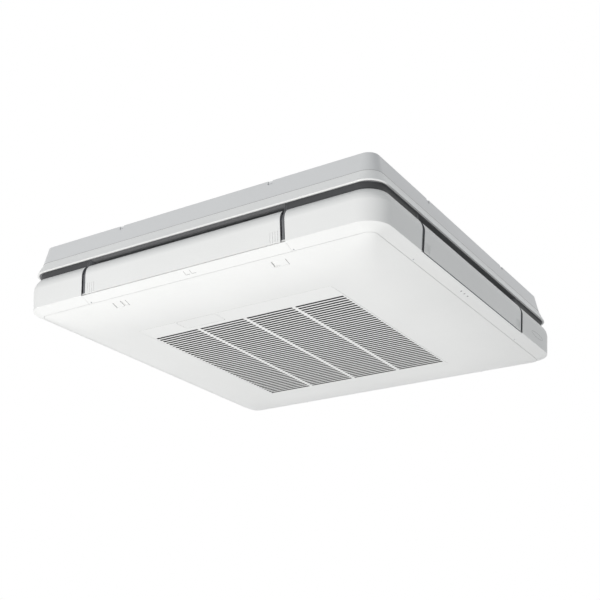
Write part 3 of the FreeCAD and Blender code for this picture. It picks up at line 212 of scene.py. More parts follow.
def ramp(tree, factor, low, high, start=0.3, end=0.7):
    """Blends two colours over part of a factor's range."""
    node = tree.nodes.new("ShaderNodeValToRGB")
    node.color_ramp.elements[0].position = start
    node.color_ramp.elements[1].position = end
    node.color_ramp.elements[0].color = (*low, 1)
    node.color_ramp.elements[1].color = (*high, 1)
    tree.links.new(factor, node.inputs["Fac"])
    return node.outputs["Color"]


def mapped(tree, value, source=(0, 1), target=(0, 1)):
    """Maps a value from one range of numbers to another."""
    node = tree.nodes.new("ShaderNodeMapRange")
    node.inputs["From Min"].default_value = source[0]
    node.inputs["From Max"].default_value = source[1]
    node.inputs["To Min"].default_value = target[0]
    node.inputs["To Max"].default_value = target[1]
    tree.links.new(value, node.inputs["Value"])
    return node.outputs["Result"]


def larger(tree, first, second):
    """The larger of two values."""
    node = tree.nodes.new("ShaderNodeMath")
    node.operation = "MAXIMUM"
    tree.links.new(first, node.inputs[0])
    tree.links.new(second, node.inputs[1])
    return node.outputs["Value"]


def bump(tree, surface, height, distance, strength):
    """Fine relief on a shader."""
    node = tree.nodes.new("ShaderNodeBump")
    node.inputs["Distance"].default_value = distance
    node.inputs["Strength"].default_value = strength
    tree.links.new(height, node.inputs["Height"])
    tree.links.new(node.outputs["Normal"], surface.inputs["Normal"])


def shade(colour, factor):
    """A lighter or darker tone of a colour."""
    return tuple(channel * factor for channel in colour)


def grained(tree, surface, place, roughness, grain=900, relief=0.00004):
    """Gives a shader the fine spark-eroded grain of moulded plastic."""
    play = 0.06
    fine = noise(tree, place, grain, detail=2)
    gloss = mapped(tree, fine, target=(roughness - play, roughness + play))
    tree.links.new(gloss, surface.inputs["Roughness"])
    bump(tree, surface, fine, relief, strength=0.5)
    surface.inputs["Specular IOR Level"].default_value = 0.45


def moulded(name, colour, roughness=0.42, grain=900, relief=0.00004, drift=0.03):
    """Moulded plastic with a slow drift of tone."""
    material, tree, surface, place = shader(name)
    slow = noise(tree, place, scale=5)
    tree.links.new(ramp(tree, slow, shade(colour, 1 - drift), colour), surface.inputs["Base Color"])
    grained(tree, surface, place, roughness, grain, relief)
    return material


def by_level(tree, place, limits):
    """A factor that runs from 0 to 1 between two heights of the unit."""
    split = tree.nodes.new("ShaderNodeSeparateXYZ")
    tree.links.new(place, split.inputs["Vector"])
    return mapped(tree, split.outputs["Z"], source=limits)


def by_reach(tree, place, limits):
    """A factor that runs from 0 to 1 between two squares round the unit's middle."""
    split = tree.nodes.new("ShaderNodeSeparateXYZ")
    tree.links.new(place, split.inputs["Vector"])
    lengths = []
    for axis in ("X", "Y"):
        length = tree.nodes.new("ShaderNodeMath")
        length.operation = "ABSOLUTE"
        tree.links.new(split.outputs[axis], length.inputs[0])
        lengths.append(length.outputs["Value"])
    return mapped(tree, larger(tree, *lengths), source=limits)


def graded(name, low, high, roughness, gradient, limits):
    """Moulded plastic that changes from one tone to another across the unit, to paint light and shade on
    it.
    """
    material, tree, surface, place = shader(name)
    tone = ramp(tree, gradient(tree, place, limits), low, high, 0, 1)
    tree.links.new(tone, surface.inputs["Base Color"])
    grained(tree, surface, place, roughness)
    return material


def coated_steel(name, colour):
    """Painted sheet with a slight orange peel."""
    material, tree, surface, place = shader(name)
    slow = noise(tree, place, scale=4)
    tree.links.new(ramp(tree, slow, shade(colour, 0.97), colour), surface.inputs["Base Color"])
    peel = noise(tree, place, scale=420, detail=1)
    tree.links.new(mapped(tree, peel, target=(0.3, 0.42)), surface.inputs["Roughness"])
    bump(tree, surface, peel, distance=0.00006, strength=0.4)
    surface.inputs["Coat Weight"].default_value = 0.25
    surface.inputs["Coat Roughness"].default_value = 0.25
    return material


def zinc_sheet(name):
    """Galvanised sheet with its spangle."""
    material, tree, surface, place = shader(name)
    spangle = cells(tree, place, scale=120)
    tone = tree.nodes.new("ShaderNodeSeparateColor")
    tree.links.new(spangle.outputs["Color"], tone.inputs["Color"])
    colour = ramp(tree, tone.outputs["Red"], (0.42, 0.44, 0.46), (0.6, 0.62, 0.64), 0, 1)
    tree.links.new(colour, surface.inputs["Base Color"])
    gloss = mapped(tree, tone.outputs["Green"], target=(0.32, 0.5))
    tree.links.new(gloss, surface.inputs["Roughness"])
    surface.inputs["Metallic"].default_value = 0.9
    return material


def bead_foam(name, colour):
    """Expanded foam with its pressed beads."""
    material, tree, surface, place = shader(name)
    beads = cells(tree, place, scale=300).outputs["Distance"]
    tree.links.new(ramp(tree, beads, colour, shade(colour, 0.86), 0.3, 0.8), surface.inputs["Base Color"])
    bump(tree, surface, beads, distance=-0.0003, strength=0.5)
    surface.inputs["Roughness"].default_value = 0.85
    return material


def metal(name, low, high, roughness, stretch=(1, 1, 60)):
    """Drawn or rolled metal with faint lines."""
    material, tree, surface, place = shader(name)
    drawn = tree.nodes.new("ShaderNodeMapping")
    drawn.inputs["Scale"].default_value = stretch
    tree.links.new(place, drawn.inputs["Vector"])
    lines = noise(tree, drawn.outputs["Vector"], scale=30)
    tree.links.new(ramp(tree, lines, low, high), surface.inputs["Base Color"])
    gloss = mapped(tree, lines, target=(roughness - 0.08, roughness + 0.1))
    tree.links.new(gloss, surface.inputs["Roughness"])
    surface.inputs["Metallic"].default_value = 1
    return material


def rubber(name):
    """Black rubber with a dull, uneven face."""
    material, tree, surface, place = shader(name)
    fine = noise(tree, place, scale=500)
    tone = ramp(tree, fine, (0.018, 0.018, 0.018), (0.035, 0.035, 0.036))
    tree.links.new(tone, surface.inputs["Base Color"])
    tree.links.new(mapped(tree, fine, target=(0.6, 0.8)), surface.inputs["Roughness"])
    bump(tree, surface, fine, distance=0.00008, strength=0.5)
    return material


def circuit(name):
    """Coated board with a faint copper layout below the coat."""
    material, tree, surface, place = shader(name)
    bricks = tree.nodes.new("ShaderNodeTexBrick")
    bricks.inputs["Scale"].default_value = 90
    bricks.inputs["Color1"].default_value = (0.03, 0.16, 0.07, 1)
    bricks.inputs["Color2"].default_value = (0.05, 0.24, 0.1, 1)
    bricks.inputs["Mortar"].default_value = (0.08, 0.3, 0.14, 1)
    tree.links.new(place, bricks.inputs["Vector"])
    tree.links.new(bricks.outputs["Color"], surface.inputs["Base Color"])
    surface.inputs["Roughness"].default_value = 0.35
    return material


def woven(name, colour):
    """Fine net in a moulded frame."""
    material, tree, surface, place = shader(name)
    strands = []
    for direction in ("X", "Y"):
        wave = tree.nodes.new("ShaderNodeTexWave")
        wave.bands_direction = direction
        wave.inputs["Scale"].default_value = 130
        tree.links.new(place, wave.inputs["Vector"])
        strands.append(wave.outputs["Fac"])
    weave = larger(tree, *strands)
    tree.links.new(ramp(tree, weave, shade(colour, 0.35), colour, 0.2, 0.8), surface.inputs["Base Color"])
    bump(tree, surface, weave, distance=0.0003, strength=0.6)
    surface.inputs["Roughness"].default_value = 0.7
    return material


def clear_lens(name):
    """Polished lens over a dark lamp."""
    material, tree, surface, place = shader(name)
    slow = noise(tree, place, scale=300)
    tone = ramp(tree, slow, (0.32, 0.33, 0.33), (0.42, 0.43, 0.43))
    tree.links.new(tone, surface.inputs["Base Color"])
    surface.inputs["Roughness"].default_value = 0.12
    surface.inputs["Coat Weight"].default_value = 0.6
    return material


FINISHES = {}


def make_finishes(colours):
    """One material for each of the record's slots and each finish of single pieces, made once."""
    if FINISHES:
        return FINISHES
    white = tuple(colours.white)
    dark = tuple(colours.dark)
    roof = tuple(colours.roof)
    # Painted shade: the grille darkens just behind its face, on slot walls that lie in shade.
    # Painted light: the corner linings are lighter low down, where light reaches into the end slots,
    # and darken upwards; the outlets' roof is lighter inwards, against the deeper shade there, and
    # darkens outwards.
    slot_shade_depth = (BOTTOM + 0.00005, BOTTOM + 0.0003)
    lining_light_height = (-0.1, -0.088)
    roof_light_reach = (HALF - 0.055, HALF - 0.014)
    # Grain, relief and drift of tone of the plastics that aren't white mouldings.
    coarse = (700, 0.00006, 0.2)
    middling = (700, 0.00005, 0.08)
    faint = (700, 0.00004, 0.1)
    recipes = {
        "white_moulding": (moulded, white),
        "white_steel": (coated_steel, tuple(colours.skirt)),
        "galvanised_steel": (zinc_sheet,),
        "control_steel": (coated_steel, (0.5, 0.51, 0.52)),
        "dark_moulding": (moulded, dark, 0.6, *coarse),
        # The lip: a lighter copy of the white moulding, painted light on it.
        "white_lip": (moulded, (0.95, 0.95, 0.945)),
        "white_grille": (graded, white, shade(white, 0.025), 0.5, by_level, slot_shade_depth),
        # Corner linings: dark above, painted light below, where light reaches into the end slots.
        "dark_lining": (graded, shade(dark, 3), dark, 0.6, by_level, lining_light_height),
        "outlet_roof": (graded, shade(roof, 3.5), roof, 0.6, by_reach, roof_light_reach),
        "dark_seal": (moulded, shade(dark, 4), 0.7, *coarse),
        # Painted light on the corner linings' cut ends, which lie in shade.
        "lining_end": (moulded, shade(dark, 7), 0.7, *coarse),
        "crease": (moulded, shade(white, 0.5), 0.7, *faint),
        "grey_line": (moulded, shade(white, 0.45), 0.6, *faint),
        "grey_moulding": (moulded, tuple(colours.grey), 0.5, *middling),
        "foam": (bead_foam, (0.8, 0.8, 0.785)),
        "fin_aluminium": (metal, (0.62, 0.64, 0.66), (0.78, 0.8, 0.81), 0.4),
        "copper_tube": (metal, (0.6, 0.28, 0.16), (0.78, 0.42, 0.28), 0.3, (1, 1, 6)),
        "brass_fitting": (metal, (0.58, 0.44, 0.18), (0.72, 0.58, 0.28), 0.28, (40, 1, 1)),
        "black_rubber": (rubber,),
        "green_board": (circuit,),
        "filter_mesh": (woven, tuple(colours.net)),
        "lamp_lens": (clear_lens,),
    }
    for name, (maker, *values) in recipes.items():
        FINISHES[name] = maker(name, *values)
    return FINISHES


# Shared steps

def turn(point, angle):
    """A point of the right-hand side, turned about the upright axis to another side."""
    return Matrix.Rotation(math.radians(angle), 3, "Z") @ Vector(point)


def arc(start, sweep):
    """Level directions, evenly spread over a sweep from a start angle, both in degrees."""
    ways = []
    for step in range(QUARTER_STEPS + 1):
        angle = math.radians(start + sweep * step / QUARTER_STEPS)
        ways.append(Vector((math.cos(angle), math.sin(angle), 0)))
    return ways


def paint(thing, material):
    """Gives a thing one material."""
    thing.data.materials.clear()
    thing.data.materials.append(material)


def add_piece(name, mesh, body, stands_for=()):
    """Links a finished mesh as a piece of a body."""
    piece = bpy.data.objects.new(name, mesh)
    bpy.context.scene.collection.objects.link(piece)
    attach(piece, body)
    if stands_for:
        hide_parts(*stands_for)
    return piece


def baked(thing):
    """The thing's evaluated mesh, with no modifier left."""
    bpy.context.view_layer.update()
    graph = bpy.context.evaluated_depsgraph_get()
    mesh = bpy.data.meshes.new_from_object(thing.evaluated_get(graph))
    old = thing.data
    bpy.data.objects.remove(thing)
    if old.users == 0 and isinstance(old, bpy.types.Mesh):
        bpy.data.meshes.remove(old)
    return mesh


def node_tree(name, inputs):
    """A geometry tree with named inputs, its input and output nodes."""
    tree = bpy.data.node_groups.new(name, "GeometryNodeTree")
    tree.interface.new_socket(name="Geometry", in_out="INPUT", socket_type="NodeSocketGeometry")
    for label, kind in inputs.items():
        tree.interface.new_socket(name=label, in_out="INPUT", socket_type=f"NodeSocket{kind}")
    tree.interface.new_socket(name="Material", in_out="INPUT", socket_type="NodeSocketMaterial")
    tree.interface.new_socket(name="Geometry", in_out="OUTPUT", socket_type="NodeSocketGeometry")
    return tree, tree.nodes.new("NodeGroupInput"), tree.nodes.new("NodeGroupOutput")


def finish_tree(tree, source, enter, leave):
    """Ends a tree in plain geometry with the material input on it."""
    real = tree.nodes.new("GeometryNodeRealizeInstances")
    coat = tree.nodes.new("GeometryNodeSetMaterial")
    tree.links.new(source, real.inputs["Geometry"])
    tree.links.new(real.outputs["Geometry"], coat.inputs["Geometry"])
    tree.links.new(enter.outputs["Material"], coat.inputs["Material"])
    tree.links.new(coat.outputs["Geometry"], leave.inputs["Geometry"])


def run_tree(tree, base, values):
    """Runs a tree on a base object and returns the plain mesh."""
    bpy.context.scene.collection.objects.link(base)
    modifier = base.modifiers.new(tree.name, "NODES")
    modifier.node_group = tree
    names = {item.name: item.identifier for item in tree.interface.items_tree
             if item.item_type == "SOCKET" and item.in_out == "INPUT"}
    for label, value in values.items():
        modifier[names[label]] = value
    return baked(base)


def wall(build, first, second):
    """Joins two rings of points with a band of faces."""
    for index in range(len(first)):
        after = (index + 1) % len(first)
        build.faces.new((first[index], first[after], second[after], second[index]))


def strip(build, spots, width, rise):
    """Lays a thin strip along places on a surface, each with the way the surface faces."""
    rings = []
    last = len(spots) - 1
    for index, (place, way) in enumerate(spots):
        ahead = spots[min(index + 1, last)][0] - spots[max(index - 1, 0)][0]
        side = way.cross(ahead).normalized() * width / 2
        lift = way * rise
        corners = (-side - lift, side - lift, side + lift, -side + lift)
        rings.append([build.verts.new(place + corner) for corner in corners])
    for first, second in zip(rings, rings[1:]):
        wall(build, first, second)
    build.faces.new(list(reversed(rings[0])))
    build.faces.new(rings[-1])


def close_up(name, build, body, finish):
    """Makes a piece of what was built, with its own finish."""
    bmesh.ops.recalc_face_normals(build, faces=build.faces)
    mesh = bpy.data.meshes.new(name)
    build.to_mesh(mesh)
    build.free()
    paint(add_piece(name, mesh, body), finish)


# Operators

class UNIT_OT_finishes(bpy.types.Operator):
    """Give every node its finish"""

    bl_idname = "unit.finishes"
    bl_label = "Finishes"

    def execute(self, context):
        finishes = make_finishes(context.scene.unit_colours)
        # Painted light and shade in these finishes: a lighter lip and outlet lining, shaded grille slots,
        # linings lighter low down.
        own = {"outlet_liner": "outlet_roof", "outlet_frame": "white_lip", "intake_grille": "white_grille"}
        own.update({f"corner_liner_{corner}": "dark_lining" for corner in CORNERS})
        for node, thing in NODES.items():
            paint(thing, finishes[own.get(node, SLOT_OF[node])])
        return {"FINISHED"}


class UNIT_OT_mouldings(bpy.types.Operator):
    """Dress the flaps, the latches and the panel"""

    bl_idname = "unit.mouldings"
    bl_label = "White mouldings"

    def softened(self, node, width):
        """A copy of a node's mesh, joined up, with its sharp edges rounded and its faces shaded evenly."""
        mesh = NODES[node].data.copy()
        build = bmesh.new()
        build.from_mesh(mesh)
        bmesh.ops.remove_doubles(build, verts=build.verts, dist=1e-5)
        build.to_mesh(mesh)
        build.free()
        mesh.polygons.foreach_set("use_smooth", [True] * len(mesh.polygons))
        draft = bpy.data.objects.new(f"{node}_draft", mesh)
        bpy.context.scene.collection.objects.link(draft)
        mesh.set_sharp_from_angle(angle=SHARP)
        if width:
            rounding = draft.modifiers.new("rounding", "BEVEL")
            rounding.width = width
            rounding.segments = 2
            rounding.limit_method = "ANGLE"
            rounding.angle_limit = SHARP
        even = draft.modifiers.new("even", "WEIGHTED_NORMAL")
        even.weight = 80
        even.keep_sharp = True
        return baked(draft)

    def rounded(self, node, depth, border):
        """A copy of the panel whose convex border, a parabola in section, shades as one curve."""
        mesh = NODES[node].data.copy()
        ways = []
        for corner, normal in zip(mesh.loops, mesh.corner_normals):
            way = normal.vector.copy()
            outward = Vector((way.x, way.y, 0))
            height = mesh.vertices[corner.vertex_index].co.z - BOTTOM
            faces_down = way.z < -0.9
            leans_out = outward.length > 0.001
            on_border = height < depth * 1.01
            if faces_down and leans_out and on_border:
                slope = 2 * depth / border * math.sqrt(max(height, 0) / depth)
                way = (outward.normalized() * slope - Vector((0, 0, 1))).normalized()
            ways.append(way)
        mesh.normals_split_custom_set(ways)
        return mesh

    def dress(self, node, mesh, finishes):
        """Puts a skin in a node's place."""
        slot = SLOT_OF[node]
        piece = add_piece(f"{node}_skin", mesh, BODY_OF[node], (node,))
        paint(piece, finishes[slot])

    def execute(self, context):
        width = context.scene.unit_sizes.edge
        finishes = make_finishes(context.scene.unit_colours)
        for node in FLAPS + LATCHES:
            self.dress(node, self.softened(node, width), finishes)
        panel = self.rounded("intake_panel", depth=0.024, border=0.12)
        self.dress("intake_panel", panel, finishes)
        return {"FINISHED"}


class UNIT_OT_coil(bpy.types.Operator):
    """Make the coil's fins and tubes along its bent path"""

    bl_idname = "unit.coil"
    bl_label = "Coil fins and tubes"

    def path(self, half, bend, end):
        """The coil's middle line, from its cut end on the back to its cut end on the left."""
        points = [Vector((-end, half, 0))]
        for sign_x, sign_y, start in ((1, 1, 90), (1, -1, 0), (-1, -1, 270)):
            centre = Vector((sign_x * (half - bend), sign_y * (half - bend), 0))
            points += [centre + way * bend for way in arc(start, -90)]
        points.append(Vector((-half, end, 0)))
        curve = bpy.data.curves.new("coil_path", "CURVE")
        curve.dimensions = "3D"
        line = curve.splines.new("POLY")
        line.points.add(len(points) - 1)
        for spot, point in zip(line.points, points):
            spot.co = (*point, 1)
        return bpy.data.objects.new("coil_path", curve)

    def fin_tree(self):
        """A thin upright sheet across the path at every pitch."""
        inputs = {"Pitch": "Float", "Size": "Vector", "Middle": "Float"}
        tree, enter, leave = node_tree("coil_fins", inputs)
        row = tree.nodes.new("GeometryNodeCurveToPoints")
        row.mode = "LENGTH"
        fin = tree.nodes.new("GeometryNodeMeshCube")
        place = tree.nodes.new("GeometryNodeInstanceOnPoints")
        lift = tree.nodes.new("GeometryNodeTransform")
        height = tree.nodes.new("ShaderNodeCombineXYZ")
        tree.links.new(enter.outputs["Geometry"], row.inputs["Curve"])
        tree.links.new(enter.outputs["Pitch"], row.inputs["Length"])
        tree.links.new(enter.outputs["Size"], fin.inputs["Size"])
        tree.links.new(row.outputs["Points"], place.inputs["Points"])
        tree.links.new(row.outputs["Rotation"], place.inputs["Rotation"])
        tree.links.new(fin.outputs["Mesh"], place.inputs["Instance"])
        tree.links.new(enter.outputs["Middle"], height.inputs["Z"])
        tree.links.new(place.outputs["Instances"], lift.inputs["Geometry"])
        tree.links.new(height.outputs["Vector"], lift.inputs["Translation"])
        finish_tree(tree, lift.outputs["Geometry"], enter, leave)
        return tree

    def tube_tree(self):
        """Tubes along the path, one above the other."""
        inputs = {"Radius": "Float", "Rows": "Int", "Step": "Vector", "Start": "Vector"}
        tree, enter, leave = node_tree("coil_tubes", inputs)
        ring = tree.nodes.new("GeometryNodeCurvePrimitiveCircle")
        ring.inputs["Resolution"].default_value = 10
        sweep = tree.nodes.new("GeometryNodeCurveToMesh")
        sweep.inputs["Fill Caps"].default_value = True
        rows = tree.nodes.new("GeometryNodeMeshLine")
        place = tree.nodes.new("GeometryNodeInstanceOnPoints")
        tree.links.new(enter.outputs["Radius"], ring.inputs["Radius"])
        tree.links.new(enter.outputs["Geometry"], sweep.inputs["Curve"])
        tree.links.new(ring.outputs["Curve"], sweep.inputs["Profile Curve"])
        tree.links.new(enter.outputs["Rows"], rows.inputs["Count"])
        tree.links.new(enter.outputs["Start"], rows.inputs["Start Location"])
        tree.links.new(enter.outputs["Step"], rows.inputs["Offset"])
        tree.links.new(rows.outputs["Mesh"], place.inputs["Points"])
        tree.links.new(sweep.outputs["Mesh"], place.inputs["Instance"])
        finish_tree(tree, place.outputs["Instances"], enter, leave)
        return tree

    def execute(self, context):
        sizes = context.scene.unit_sizes
        finishes = make_finishes(context.scene.unit_colours)
        low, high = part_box("heat_exchanger")
        plate_low, plate_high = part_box("coil_end_plate_left")
        depth = plate_high.x - plate_low.x
        half = high.x - depth / 2
        bend = 0.041
        end = plate_low.y
        tall = high.z - low.z
        step = tall / sizes.tube_rows
        fins = run_tree(self.fin_tree(), self.path(half, bend, end), {
            "Pitch": sizes.fin_pitch, "Size": (depth, tall, sizes.fin_sheet),
            "Middle": (low.z + high.z) / 2, "Material": finishes["fin_aluminium"]})
        tubes = run_tree(self.tube_tree(), self.path(half, bend, end), {
            "Radius": sizes.tube_radius, "Rows": sizes.tube_rows, "Step": (0, 0, step),
            "Start": (0, 0, low.z + step / 2), "Material": finishes["copper_tube"]})
        add_piece("coil_fins", fins, "chassis", ("heat_exchanger",))
        add_piece("coil_tubes", tubes, "chassis")
        return {"FINISHED"}


class UNIT_OT_screws(bpy.types.Operator):
    """Set the screws along the seam and on the top plate"""

    bl_idname = "unit.screws"
    bl_label = "Screws"

    def head_tree(self):
        """A tapered head with a cross slot at each point, turned the way the point faces."""
        inputs = {"Radius": "Float", "Height": "Float", "Slot": "Vector"}
        tree, enter, leave = node_tree("screw_heads", inputs)
        head = tree.nodes.new("GeometryNodeMeshCone")
        head.inputs["Vertices"].default_value = 14
        taper = tree.nodes.new("ShaderNodeMath")
        taper.operation = "MULTIPLY"
        taper.inputs[1].default_value = 0.82
        cut = tree.nodes.new("GeometryNodeMeshBoolean")
        cut.operation = "DIFFERENCE"
        raise_slot = tree.nodes.new("ShaderNodeCombineXYZ")
        tree.links.new(enter.outputs["Radius"], head.inputs["Radius Bottom"])
        tree.links.new(enter.outputs["Radius"], taper.inputs[0])
        tree.links.new(taper.outputs["Value"], head.inputs["Radius Top"])
        tree.links.new(enter.outputs["Height"], head.inputs["Depth"])
        tree.links.new(enter.outputs["Height"], raise_slot.inputs["Z"])
        tree.links.new(head.outputs["Mesh"], cut.inputs["Mesh 1"])
        for quarter in (0, 1):
            slot = tree.nodes.new("GeometryNodeMeshCube")
            set_slot = tree.nodes.new("GeometryNodeTransform")
            set_slot.inputs["Rotation"].default_value = (0, 0, math.pi / 2 * quarter)
            tree.links.new(enter.outputs["Slot"], slot.inputs["Size"])
            tree.links.new(slot.outputs["Mesh"], set_slot.inputs["Geometry"])
            tree.links.new(raise_slot.outputs["Vector"], set_slot.inputs["Translation"])
            tree.links.new(set_slot.outputs["Geometry"], cut.inputs["Mesh 2"])
        facing = tree.nodes.new("GeometryNodeInputNamedAttribute")
        facing.data_type = "FLOAT_VECTOR"
        facing.inputs["Name"].default_value = "facing"
        aim = tree.nodes.new("FunctionNodeAlignRotationToVector")
        aim.axis = "Z"
        place = tree.nodes.new("GeometryNodeInstanceOnPoints")
        tree.links.new(facing.outputs["Attribute"], aim.inputs["Vector"])
        tree.links.new(enter.outputs["Geometry"], place.inputs["Points"])
        tree.links.new(cut.outputs["Mesh"], place.inputs["Instance"])
        tree.links.new(aim.outputs["Rotation"], place.inputs["Rotation"])
        finish_tree(tree, place.outputs["Instances"], enter, leave)
        return tree

    def seam_points(self):
        """Places of the small screws on the bevels just above the seam, and the way each faces."""
        inset = 0.004
        gap = 0.0007
        rise = 0.004
        proud = 0.0002
        foot_x = HALF - inset
        seam_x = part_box("intake_panel")[1].x + gap
        slope = Vector((foot_x - seam_x, 0, FOOT - SEAM)).normalized()
        way = Vector((slope.z, 0, -slope.x))
        points = []
        for angle in SIDES.values():
            for along in (-0.2805, 0.2635):
                spot = Vector((seam_x, along, SEAM)) + slope * rise + way * proud
                points.append((turn(spot, angle), turn(way, angle)))
        return points

    def plate_points(self):
        """Places of the larger screws round the top plate, and the way each faces."""
        margin = 0.012
        level = -0.0009
        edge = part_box("top_plate")[1].x - margin
        return [(turn((edge, along, level), angle), Vector((0, 0, 1)))
                for angle in SIDES.values() for along in (-0.3, -0.1, 0.1, 0.3)]

    def spots(self, name, points):
        """A mesh of loose points, each with the way its screw faces."""
        mesh = bpy.data.meshes.new(name)
        mesh.from_pydata([point for point, way in points], [], [])
        ways = mesh.attributes.new("facing", "FLOAT_VECTOR", "POINT")
        for item, (point, way) in zip(ways.data, points):
            item.vector = way
        return bpy.data.objects.new(name, mesh)

    def execute(self, context):
        sizes = context.scene.unit_sizes
        steel = "galvanised_steel"
        finishes = make_finishes(context.scene.unit_colours)
        tree = self.head_tree()
        # Height of the head, then length, width and depth of its slots, as shares of the radius.
        groups = {
            "seam": (self.seam_points(), sizes.seam_screw_radius, (0.3, 1.3, 0.3, 0.3)),
            "plate": (self.plate_points(), sizes.screw_radius, (0.2, 1.2, 0.25, 0.2)),
        }
        for name, (points, radius, shares) in groups.items():
            height, *slot = [radius * share for share in shares]
            heads = run_tree(tree, self.spots(f"{name}_spots", points), {
                "Radius": radius, "Height": height, "Slot": slot, "Material": finishes[steel]})
            add_piece(f"{name}_screws", heads, "chassis")
        return {"FINISHED"}


class UNIT_OT_seals_shade_light(bpy.types.Operator):
    """Lay dark seals, also painting shade, on flap and cover ends, and painted light on the linings' ends
    """

    bl_idname = "unit.seals"
    bl_label = "End seals, shade and light"

    def flap_ends(self, side, angle):
        """The cut ends of a flap's blade, and its foot where the light doesn't reach it."""
        blade = 0.014
        near = 0.0003
        along = turn((0, 1, 0), angle)
        out = turn((1, 0, 0), angle)
        faces = NODES[f"flap_{side}"].data.polygons
        across = [face for face in faces
                  if abs(face.normal.dot(along)) > SQUARE and face.center.dot(out) > HALF - blade]
        places = [face.center.dot(along) for face in across]
        limits = (min(places), max(places))
        ends = [face for face, place in zip(across, places)
                if min(abs(place - limit) for limit in limits) < near]
        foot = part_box(f"flap_{side}")[0].z + near
        # Painted shade: all but the front flap get a dark sheet on the foot, for the shade in the gap
        # below it.
        if side != "front":
            ends += [face for face in faces if face.center.z < foot]
        return ends

    def cut_ends(self, node):
        """The cut ends of the walls of a piece that goes round a corner."""
        reach = 0.1
        inside = HALF - reach
        return [face for face in NODES[node].data.polygons if face.center.z > FOOT and any(
            abs(face.normal[axis]) > SQUARE and abs(face.center[axis]) < inside for axis in (0, 1))]

    def layer(self, build, node, faces, thick):
        """Raises a thin layer on some faces of a node."""
        mesh = NODES[node].data
        for face in faces:
            points = [mesh.vertices[index].co for index in face.vertices]
            under = [build.verts.new(point - face.normal * thick) for point in points]
            over = [build.verts.new(point + face.normal * thick) for point in points]
            build.faces.new(over)
            build.faces.new(list(reversed(under)))
            wall(build, under, over)

    def execute(self, context):
        thick = context.scene.unit_sizes.seal
        finishes = make_finishes(context.scene.unit_colours)
        # Dark seals on the flaps' and covers' cut ends, which also paint the shade in the end slots.
        for side, angle in SIDES.items():
            node = f"flap_{side}"
            build = bmesh.new()
            self.layer(build, node, self.flap_ends(side, angle), thick)
            close_up(f"{node}_seals", build, BODY_OF[node], finishes["dark_seal"])
        # The linings' cut ends get light sheets: painted light in their shade.
        for name, group, finish in (("cover_seals_and_shade", "corner_cover", "dark_seal"),
                                    ("liner_ends_painted_light", "corner_liner", "lining_end")):
            build = bmesh.new()
            for corner in CORNERS:
                node = f"{group}_{corner}"
                self.layer(build, node, self.cut_ends(node), thick)
            close_up(name, build, "chassis", finishes[finish])
        return {"FINISHED"}


class UNIT_OT_lines(bpy.types.Operator):
    """Draw fine grey lines of painted shade at the latches, on the front trim and on the back right corner
    """

    bl_idname = "unit.lines"
    bl_label = "Fine lines"

    def lay(self, build, node, origins, way, width, rise):
        """Lays a thin strip where straight lines first meet a node."""
        mesh = NODES[node].data
        surface = BVHTree.FromPolygons([point.co for point in mesh.vertices],
                                       [face.vertices for face in mesh.polygons])
        spots = []
        for origin in origins:
            place, facing = surface.ray_cast(Vector(origin), Vector(way))[:2]
            if place is None:
                raise RuntimeError(f"no surface of {node} at {origin}")
            spots.append((place, facing))
        strip(build, spots, width, rise)

    def latch_shade_lines(self, build):
        """Short lines of painted shade from front to back beside the latches, found from below."""
        below = -0.3
        front = -0.4292
        pitch = 0.0041
        for x in (-0.2319, -0.1951, 0.2319):
            line = [(x, front + pitch * step, below) for step in range(5)]
            self.lay(build, "intake_panel", line, (0, 0, 1), width=0.0014, rise=0.00018)

    def trim_lines(self, build):
        """Two small angles of painted shade in the middle of the front trim, found from the front."""
        ahead = -0.6
        top = -0.1655
        foot = -0.17
        drop = 0.0015
        stride = 0.0037
        for x in (-0.005, 0.011):
            upright = [(x, ahead, top - drop * step) for step in range(4)]
            level = [(x + stride * step, ahead, foot) for step in range(4)]
            for line in (upright, level):
                self.lay(build, "trim_front", line, (0, 1, 0), width=0.0009, rise=0.00015)

    def corner_outline(self, build):
        """A long oval of painted shade on the back right corner cover, found from the right."""
        beside = 0.6
        middle_y = 0.3565
        middle_z = -0.1375
        half_length = 0.0365
        half_height = 0.0055
        line = []
        for degrees in range(0, 361, 15):
            angle = math.radians(degrees)
            line.append((beside, middle_y + half_length * math.cos(angle),
                         middle_z + half_height * math.sin(angle)))
        self.lay(build, "corner_cover_back_right", line, (-1, 0, 0), width=0.0007, rise=0.0001)

    def execute(self, context):
        finish = make_finishes(context.scene.unit_colours)["grey_line"]
        build = bmesh.new()
        self.latch_shade_lines(build)
        close_up("latch_shade_lines", build, "intake", finish)
        build = bmesh.new()
        self.trim_lines(build)
        self.corner_outline(build)
        close_up("groove_shade_lines", build, "chassis", finish)
        return {"FINISHED"}


class UNIT_OT_casing(bpy.types.Operator):
    """Add a grey line of painted shade between the casing and the lip, and the plates behind the casing's
    notches
    """

    bl_idname = "unit.casing"
    bl_label = "Casing line and plates"

    def crease(self, build):
        """A grey line of painted shade where the casing meets the lip, all the way round."""
        low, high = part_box("upper_casing")
        corner = 0.033
        line = []
        for angle in (0, 90, 180, 270):
            centre = turn((high.x - corner, high.x - corner, low.z), angle)
            line += [(centre + way * corner, way) for way in arc(angle, 90)]
        strip(build, line + line[:1], width=0.0009, rise=0.00025)

    def notch_backs(self, build):
        """A small plate behind each of the notches in the casing's upper edge."""
        gap = 0.0006
        level = -0.0065
        pitch = 0.004
        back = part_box("top_plate")[1].x + gap
        for angle in SIDES.values():
            way = turn((1, 0, 0), angle)
            for middle in (-0.204, 0.204):
                line = [(turn((back, middle + pitch * step, level), angle), way) for step in range(-2, 3)]
                strip(build, line, width=0.011, rise=0.0003)

    def execute(self, context):
        finishes = make_finishes(context.scene.unit_colours)
        build = bmesh.new()
        self.crease(build)
        close_up("crease_seal", build, "chassis", finishes["crease"])
        build = bmesh.new()
        self.notch_backs(build)
        close_up("notch_backs", build, "chassis", finishes["white_steel"])
        return {"FINISHED"}


